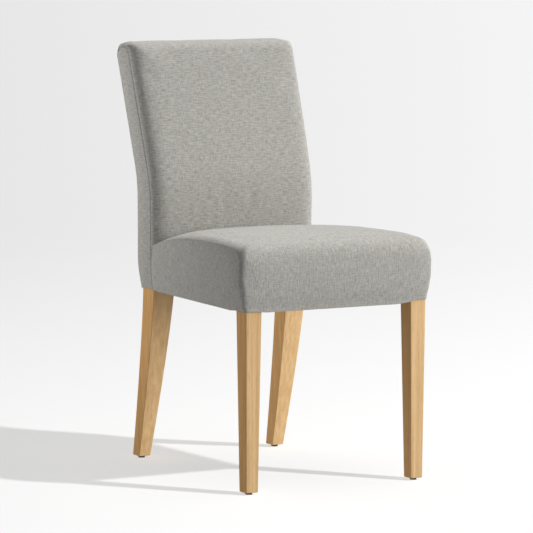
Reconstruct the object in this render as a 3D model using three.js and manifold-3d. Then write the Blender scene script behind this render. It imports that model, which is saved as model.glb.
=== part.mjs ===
// A parsons chair: oak legs, a hardwood frame under webbing and foam, and a sewn fabric cover.
// Millimetres. The front faces -Y, +X is to the right as seen from the front, and +Z is up.
// Left and right are named from there. The origin is on the floor, under the middle of the chair.
import * as THREE from 'three';
import { mergeVertices } from 'three/addons/utils/BufferGeometryUtils.js';
import Module from 'manifold-3d';

const wasm = await Module();
wasm.setup();

// Whole chair
const overallHeight = 926;
const overallDepth = 622.3;
const clearance = 0.3;        // between pieces that touch
const cutOverrun = 12;        // how far a cut runs past the face it opens

// Front legs: straight down the front, tapered on the other faces
const frontLegOuter = 223;    // from the centre line to the outer face
const frontLegWidth = 38.5;
const frontLegDepth = 42;
const frontFootWidth = 29.5;
const frontFootDepth = 29.5;
const frontFootDrawIn = 3.3;
const legArris = 1.6;         // planed edge of every leg
const footChamfer = 1.5;

// Rear legs, which run on upwards as the back posts
const rearLegOuter = 195.8;
const rearLegWidth = 52.7;
const rearLegDepth = 50;
const rearLegSetBack = 453;   // front leg's face to rear leg's face, at the seat
const rearFootWidth = 29.2;
const rearFootDepth = 30.4;
const rearFootDrawIn = 9.4;
const rearFootKick = 82;      // how far the foot stands behind the post
const postTopWidth = 38;
const postTopSpread = 4.5;
const postTopGap = 24;        // post's end to the top of the chair
const kickPowerShare = 1.25;  // 1 is a straight kick, more is a later curve

// The bend of the back
const rakeAngle = THREE.MathUtils.degToRad(19);
const rearBendRise = 121;     // start of the bend above the seat rails
const rearBendRadius = 245;
const frontBendRise = 98;
const frontBendRadius = 310;
const cosRake = Math.cos(rakeAngle);
const sinRake = Math.sin(rakeAngle);
const tanRake = Math.tan(rakeAngle);

// Seat frame
const seatUnderside = 388;    // lower edge of the cover
const railLift = 2;           // rails above the cover's edge
const railHeight = 72;
const railThickness = 22;
const backRailThickness = 24;
const topRailHeight = 62;
const lowerRailHeight = 46;
const lowerRailRise = 38;     // lower back rail above the seat rails

// Corner blocks and fasteners
const blockHeight = 46;
const blockLift = 8;
const frontBlockReach = 78;
const rearBlockReach = 98;
const wingThickness = 16;
const wingLength = 24;
const screwLength = 32;
const screwRadius = 2;
const screwHeadRadius = 4;
const screwHeadDepth = 2.6;
const boltRadius = 4;
const boltBite = 26;          // depth of the bolt in the leg
const boltTail = 9;           // bolt past the washer
const washerRadius = 10;
const washerThickness = 1.6;
const nutRadius = 7.4;
const nutHeight = 6.4;

// Glides
const glideRadius = 7.5;
const glideHeight = 4.5;
const glideRound = 1.2;
const nailRadius = 1.3;
const nailLength = 16;

// Webbing
const webWidth = 50;
const webThickness = 1.5;
const websAlong = 4;
const websAcross = 4;
const webEndMargin = 3;       // strip's end to the rail's outer face
const webSideMargin = 12;     // outermost strips to the frame's opening
const webFlat = 4;            // level stretch past a crossing
const backWebMargin = 14;     // strips across the back to the rails below and above them
const backWebPitch = 70;
const backWebRoom = 0.9;      // round these strips

// Cover and foam
const coverThickness = 1.6;
const seamGap = 0.3;
const foamRoom = 0.6;         // between the foam and the inside of its cover
const creviceGap = 2.6;       // where the seat meets the back
const frontStand = 8;         // cover's face in front of the front legs
const sideStand = 7.5;        // cover's sides outside the frame
const hemStand = 2.6;         // the same at the stapled lower edge
const hemPuff = 0.8;
const tuckHeight = 70;        // height over which the cover is drawn in to its edge
const foamSkirtRise = 18;     // lower edge of the foam's skirts above the cover's edge
const dustCoverThickness = 0.8;
const dustCoverMargin = 5;

// Seat cushion
const seatFrontRadius = 24;   // waterfall edge, along the seam
const seatPadDepth = 54;      // seam at the end of the waterfall, above the rails
const seatSideRise = 4.5;     // seam's rise from there to its highest point
const seatHighPoint = 108;    // highest point, behind the front legs' face
const seatCornerDrop = 39;    // seam's fall to the back corner
const seatBackDrop = 23;      // crown's fall to the back
const seatPuff = 14;          // crown above the seam
const seatFrontPuff = 9;      // front face in front of the seam
const seatEdgeRadius = 24;    // rounding towards the sides, on top
const seatFrontEdgeRadius = 13;
const seatCornerRadius = 140;
const seatBackRound = 10;
const seatCrownShare = 0.22;
const seatCornerCrownShare = 0.6;

// Back cushion
const backThickness = 60;     // boxing panel, front seam to rear seam
const backFrontPuff = 18;
const backTopPuff = 9;
const backRearPuff = 4;
const backEdgeRadius = 24;
const backRearEdgeRadius = 6;
const backTopFrontRadius = 21;
const backTopRearRadius = 14;
const rearPadding = 14;       // outside of the back to the posts
const backCoverRise = 8;      // lower end of the inside cover above the seat rails
const backCrownShare = 0.2;

// How finely the round forms are divided
const wallSteps = 4;
const cornerSteps = 4;
const seatTopSteps = 12;
const backSteps = 12;
const backTopSteps = 2;
const seatBackRoundSteps = 2;
const bendSteps = 5;
const glideSides = 16;
const boltSides = 12;
const screwSides = 8;
const nutSides = 6;
const roundAngles = [0, 25, 50, 70, 90].map((angle) => THREE.MathUtils.degToRad(angle));
const middleShares = [-0.6, -0.2, 0.2, 0.6];

// Heights and depths that follow
const frontLegFace = -overallDepth / 2 + frontStand;
const frontLegBack = frontLegFace + frontLegDepth;
const rearPostFront = frontLegFace + rearLegSetBack;
const rearPostBack = rearPostFront + rearLegDepth;
const railBase = seatUnderside + railLift;
const railTop = railBase + railHeight;
const rearBendStart = railTop + rearBendRise;
const frontBendStart = railTop + frontBendRise;
const lowerRailBase = railTop + lowerRailRise;
const backCoverBase = railTop + backCoverRise;
const foamSkirtEnd = seatUnderside + foamSkirtRise;
const webMiddle = railTop + clearance + webThickness / 2;
const webSwing = (webThickness + clearance) / 2;
const foamBase = webMiddle + webSwing + webThickness / 2 + clearance;
const blockBase = railBase + blockLift;
const postTop = overallHeight - postTopGap;
const archTop = overallHeight - backTopPuff;
const frontSeamLine = rearPostBack + rearPadding - backRearPuff - backThickness;
const seatFrontHeight = railTop + seatPadDepth;
const seatArcHeight = seatFrontHeight - seatFrontRadius;
const lowestBackWeb = lowerRailBase + lowerRailHeight + backWebMargin + webWidth / 2;
const highestBackWeb = postTop - topRailHeight - backWebMargin - webWidth / 2;
const backWebs = 1 + Math.max(0, Math.floor((highestBackWeb - lowestBackWeb) / backWebPitch));
// A flat strip stands off the bend of the posts at its edges
const webCurveRoom = (webWidth / 2) ** 2 / (2 * frontBendRadius);

// Colours
const oak = new THREE.MeshStandardMaterial({ color: 0xcfa674, roughness: 0.55, metalness: 0 });
const beech = new THREE.MeshStandardMaterial({ color: 0xd9c3a0, roughness: 0.7, metalness: 0 });
const cloth = new THREE.MeshStandardMaterial({ color: 0xb0ada5, roughness: 0.95, metalness: 0 });
const foam = new THREE.MeshStandardMaterial({ color: 0xf1ecd8, roughness: 1, metalness: 0 });
const webbing = new THREE.MeshStandardMaterial({ color: 0x57534c, roughness: 0.9, metalness: 0 });
const cambric = new THREE.MeshStandardMaterial({ color: 0x1d1d1d, roughness: 0.95, metalness: 0 });
const zinc = new THREE.MeshStandardMaterial({ color: 0xb9bdc1, roughness: 0.4, metalness: 1 });
const glidePlastic = new THREE.MeshStandardMaterial({ color: 0x2b2724, roughness: 0.6, metalness: 0 });

const chair = new THREE.Group();

function place(name, geometry, material) {
  const mesh = new THREE.Mesh(geometry, material.clone());
  mesh.name = name;
  chair.add(mesh);
  return mesh;
}

function mix(from, to, share) {
  return from + (to - from) * share;
}

// Equal steps from a start, which is left out, to an end
function evenly(count, from, to) {
  return Array.from({ length: count }, (unused, index) => mix(from, to, (index + 1) / count));
}

// Solids: a closed geometry becomes a solid for cutting and joining, and turns back afterwards

function welded(geometry) {
  const bare = geometry.clone();
  bare.deleteAttribute('normal');
  bare.deleteAttribute('uv');
  return mergeVertices(bare);
}

function toSolid(geometry) {
  const body = welded(geometry);
  return new wasm.Manifold(new wasm.Mesh({
    numProp: 3,
    vertProperties: Float32Array.from(body.attributes.position.array),
    triVerts: Uint32Array.from(body.index.array),
  }));
}

function toGeometry(solid) {
  const mesh = solid.getMesh();
  const geometry = new THREE.BufferGeometry();
  geometry.setAttribute('position', new THREE.BufferAttribute(mesh.vertProperties, 3));
  geometry.setIndex(new THREE.BufferAttribute(mesh.triVerts, 1));
  geometry.computeVertexNormals();
  return geometry;
}

function carve(geometry, cutters) {
  let solid = toSolid(geometry);
  for (const cutter of cutters) {
    solid = solid.subtract(toSolid(cutter));
  }
  return toGeometry(solid);
}

// Triangles that close on themselves become a geometry whose faces point outwards
function closedGeometry(triangles) {
  let volume = 0;
  for (const [a, b, c] of triangles) {
    volume += a.dot(b.clone().cross(c));
  }
  const positions = [];
  for (const [a, b, c] of triangles) {
    const ordered = volume > 0 ? [a, b, c] : [a, c, b];
    for (const point of ordered) {
      positions.push(point.x, point.y, point.z);
    }
  }
  const geometry = new THREE.BufferGeometry();
  geometry.setAttribute('position', new THREE.Float32BufferAttribute(positions, 3));
  const body = mergeVertices(geometry);
  body.computeVertexNormals();
  return body;
}

// Rings of points, one above the other, joined up the sides and closed at both ends
function loft(rings) {
  const triangles = [];
  const count = rings[0].length;
  for (let level = 0; level + 1 < rings.length; level += 1) {
    for (let corner = 0; corner < count; corner += 1) {
      const next = (corner + 1) % count;
      const low = rings[level];
      const high = rings[level + 1];
      triangles.push([low[corner], low[next], high[next]]);
      triangles.push([low[corner], high[next], high[corner]]);
    }
  }
  const bottom = rings[0];
  const top = rings[rings.length - 1];
  for (let corner = 1; corner + 1 < count; corner += 1) {
    triangles.push([bottom[0], bottom[corner + 1], bottom[corner]]);
    triangles.push([top[0], top[corner], top[corner + 1]]);
  }
  return closedGeometry(triangles);
}

// A rectangle at one height, with its corners planed off by the arris
function plankRing(x0, x1, y0, y1, z, arris) {
  if (arris === 0) {
    return [[x0, y0], [x1, y0], [x1, y1], [x0, y1]].map(([x, y]) => new THREE.Vector3(x, y, z));
  }
  const outline = [
    [x0 + arris, y0], [x1 - arris, y0], [x1, y0 + arris], [x1, y1 - arris],
    [x1 - arris, y1], [x0 + arris, y1], [x0, y1 - arris], [x0, y0 + arris],
  ];
  return outline.map(([x, y]) => new THREE.Vector3(x, y, z));
}

// A plan outline stood up between two heights
function upright(outline, base, height) {
  const shape = new THREE.Shape(outline.map(([x, y]) => new THREE.Vector2(x, y)));
  const geometry = new THREE.ExtrudeGeometry(shape, { depth: height, bevelEnabled: false });
  return geometry.translate(0, 0, base);
}

// A turned piece whose axis starts at one point and runs along a direction
function turned(profile, sides, start, direction) {
  const outline = profile.map(([radius, length]) => new THREE.Vector2(radius, length));
  const geometry = new THREE.LatheGeometry(outline, sides);
  const turn = new THREE.Quaternion().setFromUnitVectors(new THREE.Vector3(0, 1, 0), direction);
  return geometry.applyQuaternion(turn).translate(start.x, start.y, start.z);
}

function mirrored(outline, side) {
  return side > 0 ? outline : outline.map(([x, y]) => [-x, y]).reverse();
}

const sides = [
  { name: 'left', sign: -1 },
  { name: 'right', sign: 1 },
];

// Lines that the frame and the cover share

// How far a raked line has leant back at a height
function lean(height, bendStart, bendRadius) {
  const rise = height - bendStart;
  if (rise <= 0) {
    return 0;
  }
  const arcRise = bendRadius * sinRake;
  if (rise < arcRise) {
    return bendRadius - Math.sqrt(bendRadius ** 2 - rise ** 2);
  }
  return bendRadius * (1 - cosRake) + (rise - arcRise) * tanRake;
}

const frontLean = (height) => lean(height, frontBendStart, frontBendRadius);
const rearLean = (height) => lean(height, rearBendStart, rearBendRadius);

// Share of the way from full at a height to the drawn-in lower edge
function tuck(height) {
  const share = Math.min(1, Math.max(0, (height - seatUnderside) / tuckHeight));
  return 1 - Math.sin(share * Math.PI / 2);
}

const postFront = (height) => rearPostFront + frontLean(height);
const postBack = (height) => rearPostBack + rearLean(height);
const postShare = (height) => Math.max(0, (height - seatUnderside) / (postTop - seatUnderside));
const postOuter = (height) => rearLegOuter + postTopSpread * postShare(height);

// Half the frame's width at a depth: square behind the front leg, then drawn in to the rear leg
function frameOuter(depth) {
  const share = (depth - frontLegBack) / (rearPostFront - frontLegBack);
  return mix(frontLegOuter, rearLegOuter, Math.min(1, Math.max(0, share)));
}

const sideRoom = (height) => mix(sideStand, hemStand, tuck(height));
const frontRoom = (height) => mix(frontStand, hemStand, tuck(height));
const rearRoom = (height) => mix(rearPadding, hemStand, tuck(height));
const frontPuff = (height) => mix(seatFrontPuff, hemPuff, tuck(height));
const rearPuff = (height) => mix(backRearPuff, hemPuff, tuck(height));
const seatHalf = (depth, height) => frameOuter(depth) + sideRoom(height);
const backHalf = (depth, height) => postOuter(height) + sideRoom(height);
const frontSeam = (height) => frontSeamLine + frontLean(height);
const rearSeam = (height) => rearPostBack + rearLean(height) + rearRoom(height) - rearPuff(height);

// Legs

const legBase = glideHeight + clearance;

// Rings of a sawn leg from the foot up, from its four faces at each height
function legRings(heights, faces) {
  return heights.map((height) => {
    const { inner, outer, front, back } = faces(height);
    return plankRing(inner, outer, front, back, height, legArris);
  });
}

// The foot's first ring is drawn in by its chamfer
function chamferedFoot(rings) {
  const foot = rings[0];
  const centre = new THREE.Vector3();
  foot.forEach((point) => centre.add(point));
  centre.divideScalar(foot.length);
  const sole = foot.map((point) => {
    const inward = centre.clone().sub(point);
    return point.clone().addScaledVector(inward, footChamfer / inward.length());
  });
  const raised = foot.map((point) => point.clone().setZ(point.z + footChamfer));
  return [sole, raised, ...rings.slice(1)];
}

function mirrorRings(rings, sign) {
  return rings.map((ring) => ring.map((point) => new THREE.Vector3(point.x * sign, point.y, point.z)));
}

function frontLegFaces(height) {
  const share = Math.min(1, (height - legBase) / (seatUnderside - legBase));
  const outer = frontLegOuter - frontFootDrawIn * (1 - share);
  return {
    outer,
    inner: outer - mix(frontFootWidth, frontLegWidth, share),
    front: frontLegFace,
    back: frontLegFace + mix(frontFootDepth, frontLegDepth, share),
  };
}

// Below the seat the rear leg sweeps back and draws in, above it the post leans and spreads
function rearLegFaces(height) {
  if (height >= seatUnderside) {
    const outer = postOuter(height);
    const slim = Math.max(0, (height - railTop) / (postTop - railTop));
    return {
      outer,
      inner: outer - mix(rearLegWidth, postTopWidth, slim),
      front: postFront(height),
      back: postBack(height),
    };
  }
  const drop = (seatUnderside - height) / (seatUnderside - legBase);
  const sweep = drop ** kickPowerShare;
  const outer = rearLegOuter - rearFootDrawIn * drop;
  return {
    outer,
    inner: outer - mix(rearLegWidth, rearFootWidth, drop),
    front: rearPostFront + rearFootKick * sweep,
    back: rearPostBack + (rearFootKick + rearFootDepth - rearLegDepth) * sweep,
  };
}

function frontLegRings() {
  return chamferedFoot(legRings([legBase, seatUnderside, railTop], frontLegFaces));
}

function rearLegRings() {
  const heights = [];
  const legShares = [0, 0.3, 0.55, 0.72, 0.85, 0.94];
  for (const share of legShares) {
    heights.push(mix(legBase, seatUnderside, share));
  }
  heights.push(seatUnderside, railTop, frontBendStart);
  const bendEnd = frontBendStart + frontBendRadius * sinRake;
  heights.push(...evenly(bendSteps, frontBendStart, bendEnd), postTop);
  return chamferedFoot(legRings(heights, rearLegFaces));
}

// Fasteners: each outline can be grown by the clearance to make its hole

function screwProfile(grow) {
  const reach = screwLength + grow;
  return [
    [0, -grow], [screwHeadRadius + grow, -grow], [screwHeadRadius + grow, grow],
    [screwRadius + grow, screwHeadDepth + grow], [screwRadius + grow, reach - screwRadius], [0, reach],
  ];
}

function boltProfile(grow, tail) {
  return [
    [0, -tail], [boltRadius + grow, -tail], [boltRadius + grow, boltBite + grow], [0, boltBite + grow],
  ];
}

function glideProfile() {
  return [
    [0, 0], [glideRadius - glideRound, 0], [glideRadius, glideRound], [glideRadius, glideHeight],
    [nailRadius, glideHeight], [nailRadius, glideHeight + nailLength - nailRadius],
    [0, glideHeight + nailLength],
  ];
}

function nailHoleProfile() {
  const reach = glideHeight + nailLength + clearance;
  return [[0, 0], [nailRadius + clearance, 0], [nailRadius + clearance, reach], [0, reach]];
}

const upwards = new THREE.Vector3(0, 0, 1);

// Where the middle of a foot stands on the floor
function footCentre(faces, sign) {
  const { inner, outer, front, back } = faces(legBase);
  return new THREE.Vector3(sign * (inner + outer) / 2, (front + back) / 2, 0);
}

// Corner blocks

const railInner = (depth) => frameOuter(depth) - railThickness;
const rearRailFront = rearPostBack - railThickness;

// A corner seen in plan on the right-hand side: rail faces, notched leg, and which way is inwards
const frontCorner = {
  name: 'front',
  rail: frontLegFace + railThickness,
  legFace: frontLegBack,
  legInner: frontLegOuter - frontLegWidth,
  reach: frontBlockReach,
  inward: 1,
};
const rearCorner = {
  name: 'rear',
  rail: rearRailFront,
  legFace: rearPostFront,
  legInner: rearLegOuter - rearLegWidth,
  reach: rearBlockReach,
  inward: -1,
};

// A winged block that fills the corner behind two rails and is notched round the leg
function blockOutline(corner) {
  const { rail, legFace, legInner, reach, inward } = corner;
  const step = (distance) => rail + inward * distance;
  const side = railInner(step(reach));
  const notch = railInner(legFace);
  const foot = side - reach;
  const outline = [
    [foot, step(clearance)],
    [legInner - clearance, step(clearance)],
    [legInner - clearance, legFace + inward * clearance],
    [notch - clearance, legFace + inward * clearance],
    [side - clearance, step(reach)],
    [side - wingThickness, step(reach)],
    [side - wingThickness, step(reach - wingLength)],
    [foot + wingLength, step(wingThickness)],
    [foot, step(wingThickness)],
  ];
  return inward > 0 ? outline : outline.reverse();
}

// Middle of the block's sloping face, and the way from there to the leg
function boltSeat(corner, sign) {
  const { rail, reach, inward, legFace, legInner } = corner;
  const side = railInner(rail + inward * reach);
  const x = (side - reach + wingLength + side - wingThickness) / 2;
  const y = rail + inward * (wingThickness + reach - wingLength) / 2;
  const slope = new THREE.Vector3(
    reach - wingThickness - wingLength, inward * (reach - wingLength - wingThickness), 0);
  const normal = new THREE.Vector3(slope.y, -slope.x, 0).normalize();
  const towardsLeg = new THREE.Vector3(legInner - x, legFace - y, 0);
  if (normal.dot(towardsLeg) < 0) {
    normal.negate();
  }
  const depthToLeg = towardsLeg.dot(normal);
  return {
    start: new THREE.Vector3(x * sign, y, blockBase + blockHeight / 2),
    direction: new THREE.Vector3(normal.x * sign, normal.y, 0),
    depthToLeg,
  };
}

// The two screws of a block, one through each wing
function screwSeats(corner, sign) {
  const { rail, reach, inward } = corner;
  const side = railInner(rail + inward * reach);
  const height = blockBase + blockHeight / 2;
  const end = side - reach;
  return [
    {
      name: 'end',
      start: new THREE.Vector3((end + wingLength / 2) * sign, rail + inward * wingThickness, height),
      direction: new THREE.Vector3(0, -inward, 0),
    },
    {
      name: 'side',
      start: new THREE.Vector3(
        (side - wingThickness) * sign, rail + inward * (reach - wingLength / 2), height),
      direction: new THREE.Vector3(sign, 0, 0),
    },
  ];
}

function screwAt(seat, grow) {
  return turned(screwProfile(grow), screwSides, seat.start, seat.direction);
}

// The bolt's shank starts inside the washer and ends in the leg
function boltShankAt(seat, grow, tail) {
  const profile = boltProfile(grow, tail);
  const reach = seat.depthToLeg;
  const longer = profile.map(([radius, length]) => [radius, length > 0 ? length + reach : length]);
  return turned(longer, boltSides, seat.start, seat.direction);
}

// Hanger bolt with its washer and hexagon nut, in one body
function legBolt(seat) {
  const outward = seat.direction.clone().negate();
  const washerSeat = seat.start.clone().addScaledVector(outward, clearance);
  const washer = turned(
    [[0, 0], [washerRadius, 0], [washerRadius, washerThickness], [0, washerThickness]],
    glideSides, washerSeat, outward);
  const nut = turned(
    [[0, 0], [nutRadius, 0], [nutRadius, nutHeight + washerThickness], [0, nutHeight + washerThickness]],
    nutSides, washerSeat, outward);
  const shank = boltShankAt(seat, 0, nutHeight + washerThickness + boltTail);
  return toGeometry(toSolid(shank).add(toSolid(washer)).add(toSolid(nut)));
}

function buildLegs() {
  for (const { name, sign } of sides) {
    const frontFoot = footCentre(frontLegFaces, sign);
    const rearFoot = footCentre(rearLegFaces, sign);
    const nailHoles = [frontFoot, rearFoot].map(
      (foot) => turned(nailHoleProfile(), boltSides, foot, upwards));
    const boltHoles = [frontCorner, rearCorner].map(
      (corner) => boltShankAt(boltSeat(corner, sign), clearance, 0));
    const frontLeg = loft(mirrorRings(frontLegRings(), sign));
    const rearLeg = loft(mirrorRings(rearLegRings(), sign));
    place(`front_leg_${name}`, carve(frontLeg, [nailHoles[0], boltHoles[0]]), oak);
    place(`rear_leg_${name}`, carve(rearLeg, [nailHoles[1], boltHoles[1]]), oak);
    place(`glide_front_${name}`, turned(glideProfile(), glideSides, frontFoot, upwards), glidePlastic);
    place(`glide_rear_${name}`, turned(glideProfile(), glideSides, rearFoot, upwards), glidePlastic);
  }
}

function buildSeatFrame() {
  const holes = { front: [], rear: [], left: [], right: [] };
  for (const { name, sign } of sides) {
    for (const corner of [frontCorner, rearCorner]) {
      const seats = screwSeats(corner, sign);
      const bolt = boltSeat(corner, sign);
      const block = upright(mirrored(blockOutline(corner), sign), blockBase, blockHeight);
      const cutters = seats.map((seat) => screwAt(seat, clearance));
      cutters.push(boltShankAt(bolt, clearance, cutOverrun));
      place(`corner_block_${corner.name}_${name}`, carve(block, cutters), beech);
      place(`leg_bolt_${corner.name}_${name}`, legBolt(bolt), zinc);
      for (const seat of seats) {
        place(`block_screw_${corner.name}_${name}_${seat.name}`, screwAt(seat, 0), zinc);
      }
      holes[corner.name].push(cutters[0]);
      holes[name].push(cutters[1]);
    }
  }
  const frontEnd = frontLegOuter - frontLegWidth - clearance;
  const rearEnd = rearLegOuter - rearLegWidth - clearance;
  const frontRail = rectangle(frontEnd, frontLegFace, frontLegFace + railThickness);
  const rearRail = rectangle(rearEnd, rearRailFront, rearPostBack);
  place('front_seat_rail', carve(upright(frontRail, railBase, railHeight), holes.front), beech);
  place('rear_seat_rail', carve(upright(rearRail, railBase, railHeight), holes.rear), beech);
  for (const { name, sign } of sides) {
    const rail = upright(mirrored(sideRailOutline(), sign), railBase, railHeight);
    place(`side_seat_rail_${name}`, carve(rail, holes[name]), beech);
  }
}

function rectangle(half, front, back) {
  return [[-half, front], [half, front], [half, back], [-half, back]];
}

function sideRailOutline() {
  const front = frontLegBack + clearance;
  const back = rearPostFront - clearance;
  return [
    [railInner(front), front], [frameOuter(front), front],
    [frameOuter(back), back], [railInner(back), back],
  ];
}

// A rail between the posts, leaning with them
function backRail(base, height) {
  const levels = [base, base + height];
  const rings = levels.map((level) => {
    const { inner, front } = rearLegFaces(level);
    const half = inner - clearance;
    return plankRing(-half, half, front, front + backRailThickness, level, 0);
  });
  return loft(rings);
}

function buildBackFrame() {
  place('top_rail', backRail(postTop - topRailHeight, topRailHeight), beech);
  place('lower_back_rail', backRail(lowerRailBase, lowerRailHeight), beech);
}

// Webbing: strips on the rails, woven over and under each other across the seat

// Middles of a number of strips spread across an opening
function spread(count, from, to) {
  const first = from + webWidth / 2;
  const last = to - webWidth / 2;
  return Array.from({ length: count }, (unused, index) => mix(first, last, index / (count - 1)));
}

// Side view of a strip that swings above or below the middle at each crossing
function wovenOutline(start, end, crossings, startsOver) {
  const landing = railThickness + webEndMargin;
  const middle = [[start, 0], [start + landing, 0]];
  crossings.forEach((crossing, index) => {
    const over = (index % 2 === 0) === startsOver;
    const level = over ? webSwing : -webSwing;
    middle.push([crossing - webWidth / 2 - webFlat, level], [crossing + webWidth / 2 + webFlat, level]);
  });
  middle.push([end - landing, 0], [end, 0]);
  const top = middle.map(([along, level]) => [along, level + webThickness / 2]);
  const bottom = middle.map(([along, level]) => [along, level - webThickness / 2]);
  return [...bottom, ...top.reverse()];
}

function wovenStrip(outline) {
  const shape = new THREE.Shape(outline.map(([along, level]) => new THREE.Vector2(along, level)));
  const geometry = new THREE.ExtrudeGeometry(shape, { depth: webWidth, bevelEnabled: false });
  return geometry.rotateX(Math.PI / 2).translate(0, webWidth / 2, 0);
}

function buildSeatWebbing() {
  const openFront = frontLegFace + railThickness + webSideMargin;
  const openBack = rearPostFront - webSideMargin;
  const openHalf = rearLegOuter - rearLegWidth - webSideMargin;
  const acrossPlaces = spread(websAcross, openFront + webSideMargin, openBack);
  const alongPlaces = spread(websAlong, -openHalf, openHalf);
  alongPlaces.forEach((x, index) => {
    const outline = wovenOutline(
      frontLegFace + webEndMargin, rearPostBack - webEndMargin, acrossPlaces, index % 2 === 0);
    const strip = wovenStrip(outline).rotateZ(Math.PI / 2).translate(x, 0, webMiddle);
    place(`seat_webbing_along_${index + 1}`, strip, webbing);
  });
  acrossPlaces.forEach((y, index) => {
    const half = frameOuter(y + webWidth / 2) - webEndMargin;
    const outline = wovenOutline(-half, half, alongPlaces, index % 2 === 1);
    const strip = wovenStrip(outline).translate(0, y, webMiddle);
    place(`seat_webbing_across_${index + 1}`, strip, webbing);
  });
}

// Strips stretched across the fronts of the posts, square to their slope
function buildBackWebbing() {
  for (let index = 0; index < backWebs; index += 1) {
    const height = lowestBackWeb + index * backWebPitch;
    const rise = Math.min(1, Math.max(0, (height - frontBendStart) / frontBendRadius));
    const slope = Math.min(rakeAngle, Math.asin(rise));
    const half = postOuter(height) - webEndMargin;
    const stand = clearance + webThickness / 2;
    const strip = new THREE.BoxGeometry(2 * half, webThickness, webWidth);
    strip.rotateX(-slope);
    strip.translate(0, postFront(height) - stand * Math.cos(slope), height + stand * Math.sin(slope));
    place(`back_webbing_${index + 1}`, strip, webbing);
  }
}

// Soft forms. A path is a side view, row by row: the seam at the sides, and the middle of the cushion.

// How full the cushion stands at a place across it: rounded down to the seam, and crowned
function fullness(x, half, round) {
  const fromEdge = Math.max(0, half - Math.abs(x));
  const inwards = Math.min(1, fromEdge / round.radius);
  const edge = Math.sqrt(1 - (1 - inwards) ** 2);
  return mix(edge, 1 - (x / half) ** 2, round.crownShare);
}

function mixRound(from, to, share) {
  return {
    radius: mix(from.radius, to.radius, share),
    crownShare: mix(from.crownShare, to.crownShare, share),
  };
}

// Places across a row: close together round the edges, wider over the middle
function acrossPlaces(half, radius) {
  const edge = roundAngles.map((angle) => half - radius * (1 - Math.cos(angle)));
  const inner = half - radius;
  const middle = middleShares.map((share) => share * inner);
  return [...edge.map((x) => -x), ...middle, ...edge.reverse()];
}

// The cushion's wrap: front, top and rear in one sheet of points, from side seam to side seam.
// A row is rounded alike in depth and height, unless it has a rounding of its own for the depth,
// or a surface that gives the height at each place.
function wrapGrid(path, halfAt, limit) {
  return path.map((row) => {
    const half = halfAt(row.seam.y, row.seam.z);
    const depthRound = row.depthRound ?? row.round;
    return acrossPlaces(half, row.round.radius).map((x) => {
      const full = fullness(x, half, row.round);
      const deep = fullness(x, half, depthRound);
      const y = mix(row.seam.y, row.centre.y, deep);
      const z = row.surface ? row.surface(x, y) : mix(row.seam.z, row.centre.z, full);
      return new THREE.Vector3(x, limit(x, y, z), z);
    });
  });
}

// A sheet stretched between four edges, given as rows of [y, z]; the sides' width gives x
function sidePanelGrid(front, top, rear, bottom, halfAt, limit, sign) {
  const rows = front.length - 1;
  const columns = top.length - 1;
  return front.map((frontPoint, row) => {
    const up = row / rows;
    return top.map((topPoint, column) => {
      const back = column / columns;
      const blend = (axis) => mix(bottom[column][axis], topPoint[axis], up)
        + mix(frontPoint[axis], rear[row][axis], back)
        - mix(
          mix(bottom[0][axis], bottom[columns][axis], back),
          mix(top[0][axis], top[columns][axis], back), up);
      const y = blend('y');
      const z = blend('z');
      const half = halfAt(y, z);
      return new THREE.Vector3(sign * half, limit(half, y, z), z);
    });
  });
}

// The four edges of a side panel, read off a path whose corners are two of its rows
function sidePanel(path, frontCornerRow, rearCornerRow, halfAt, limit, sign) {
  const seam = path.map((row) => row.seam);
  const last = seam.length - 1;
  const front = seam.slice(0, frontCornerRow + 1);
  const top = seam.slice(frontCornerRow, rearCornerRow + 1);
  const rear = seam.slice(rearCornerRow).reverse();
  const bottom = top.map((unused, column) => ({
    y: mix(seam[0].y, seam[last].y, column / (top.length - 1)),
    z: mix(seam[0].z, seam[last].z, column / (top.length - 1)),
  }));
  return sidePanelGrid(front, top, rear, bottom, halfAt, limit, sign);
}

function gridTriangles(grid, flipped) {
  const triangles = [];
  for (let row = 0; row + 1 < grid.length; row += 1) {
    for (let column = 0; column + 1 < grid[0].length; column += 1) {
      const a = grid[row][column];
      const b = grid[row][column + 1];
      const c = grid[row + 1][column + 1];
      const d = grid[row + 1][column];
      if (flipped) {
        triangles.push([a, c, b], [a, d, c]);
      } else {
        triangles.push([a, b, c], [a, c, d]);
      }
    }
  }
  return triangles;
}

function border(grid) {
  const lastColumn = grid[0].length - 1;
  const right = grid.slice(1, -1).map((row) => row[lastColumn]);
  const left = grid.slice(1, -1).map((row) => row[0]).reverse();
  return [...grid[0], ...right, ...grid[grid.length - 1].slice().reverse(), ...left];
}

// A panel of cloth: the outer sheet, the same sheet a thickness further in, and the cut edges
function clothPanel(outer, inner) {
  const triangles = [...gridTriangles(outer, false), ...gridTriangles(inner, true)];
  const outerEdge = border(outer);
  const innerEdge = border(inner);
  outerEdge.forEach((point, index) => {
    const next = (index + 1) % outerEdge.length;
    triangles.push([outerEdge[next], point, innerEdge[index]]);
    triangles.push([outerEdge[next], innerEdge[index], innerEdge[next]]);
  });
  return closedGeometry(triangles);
}

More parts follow.
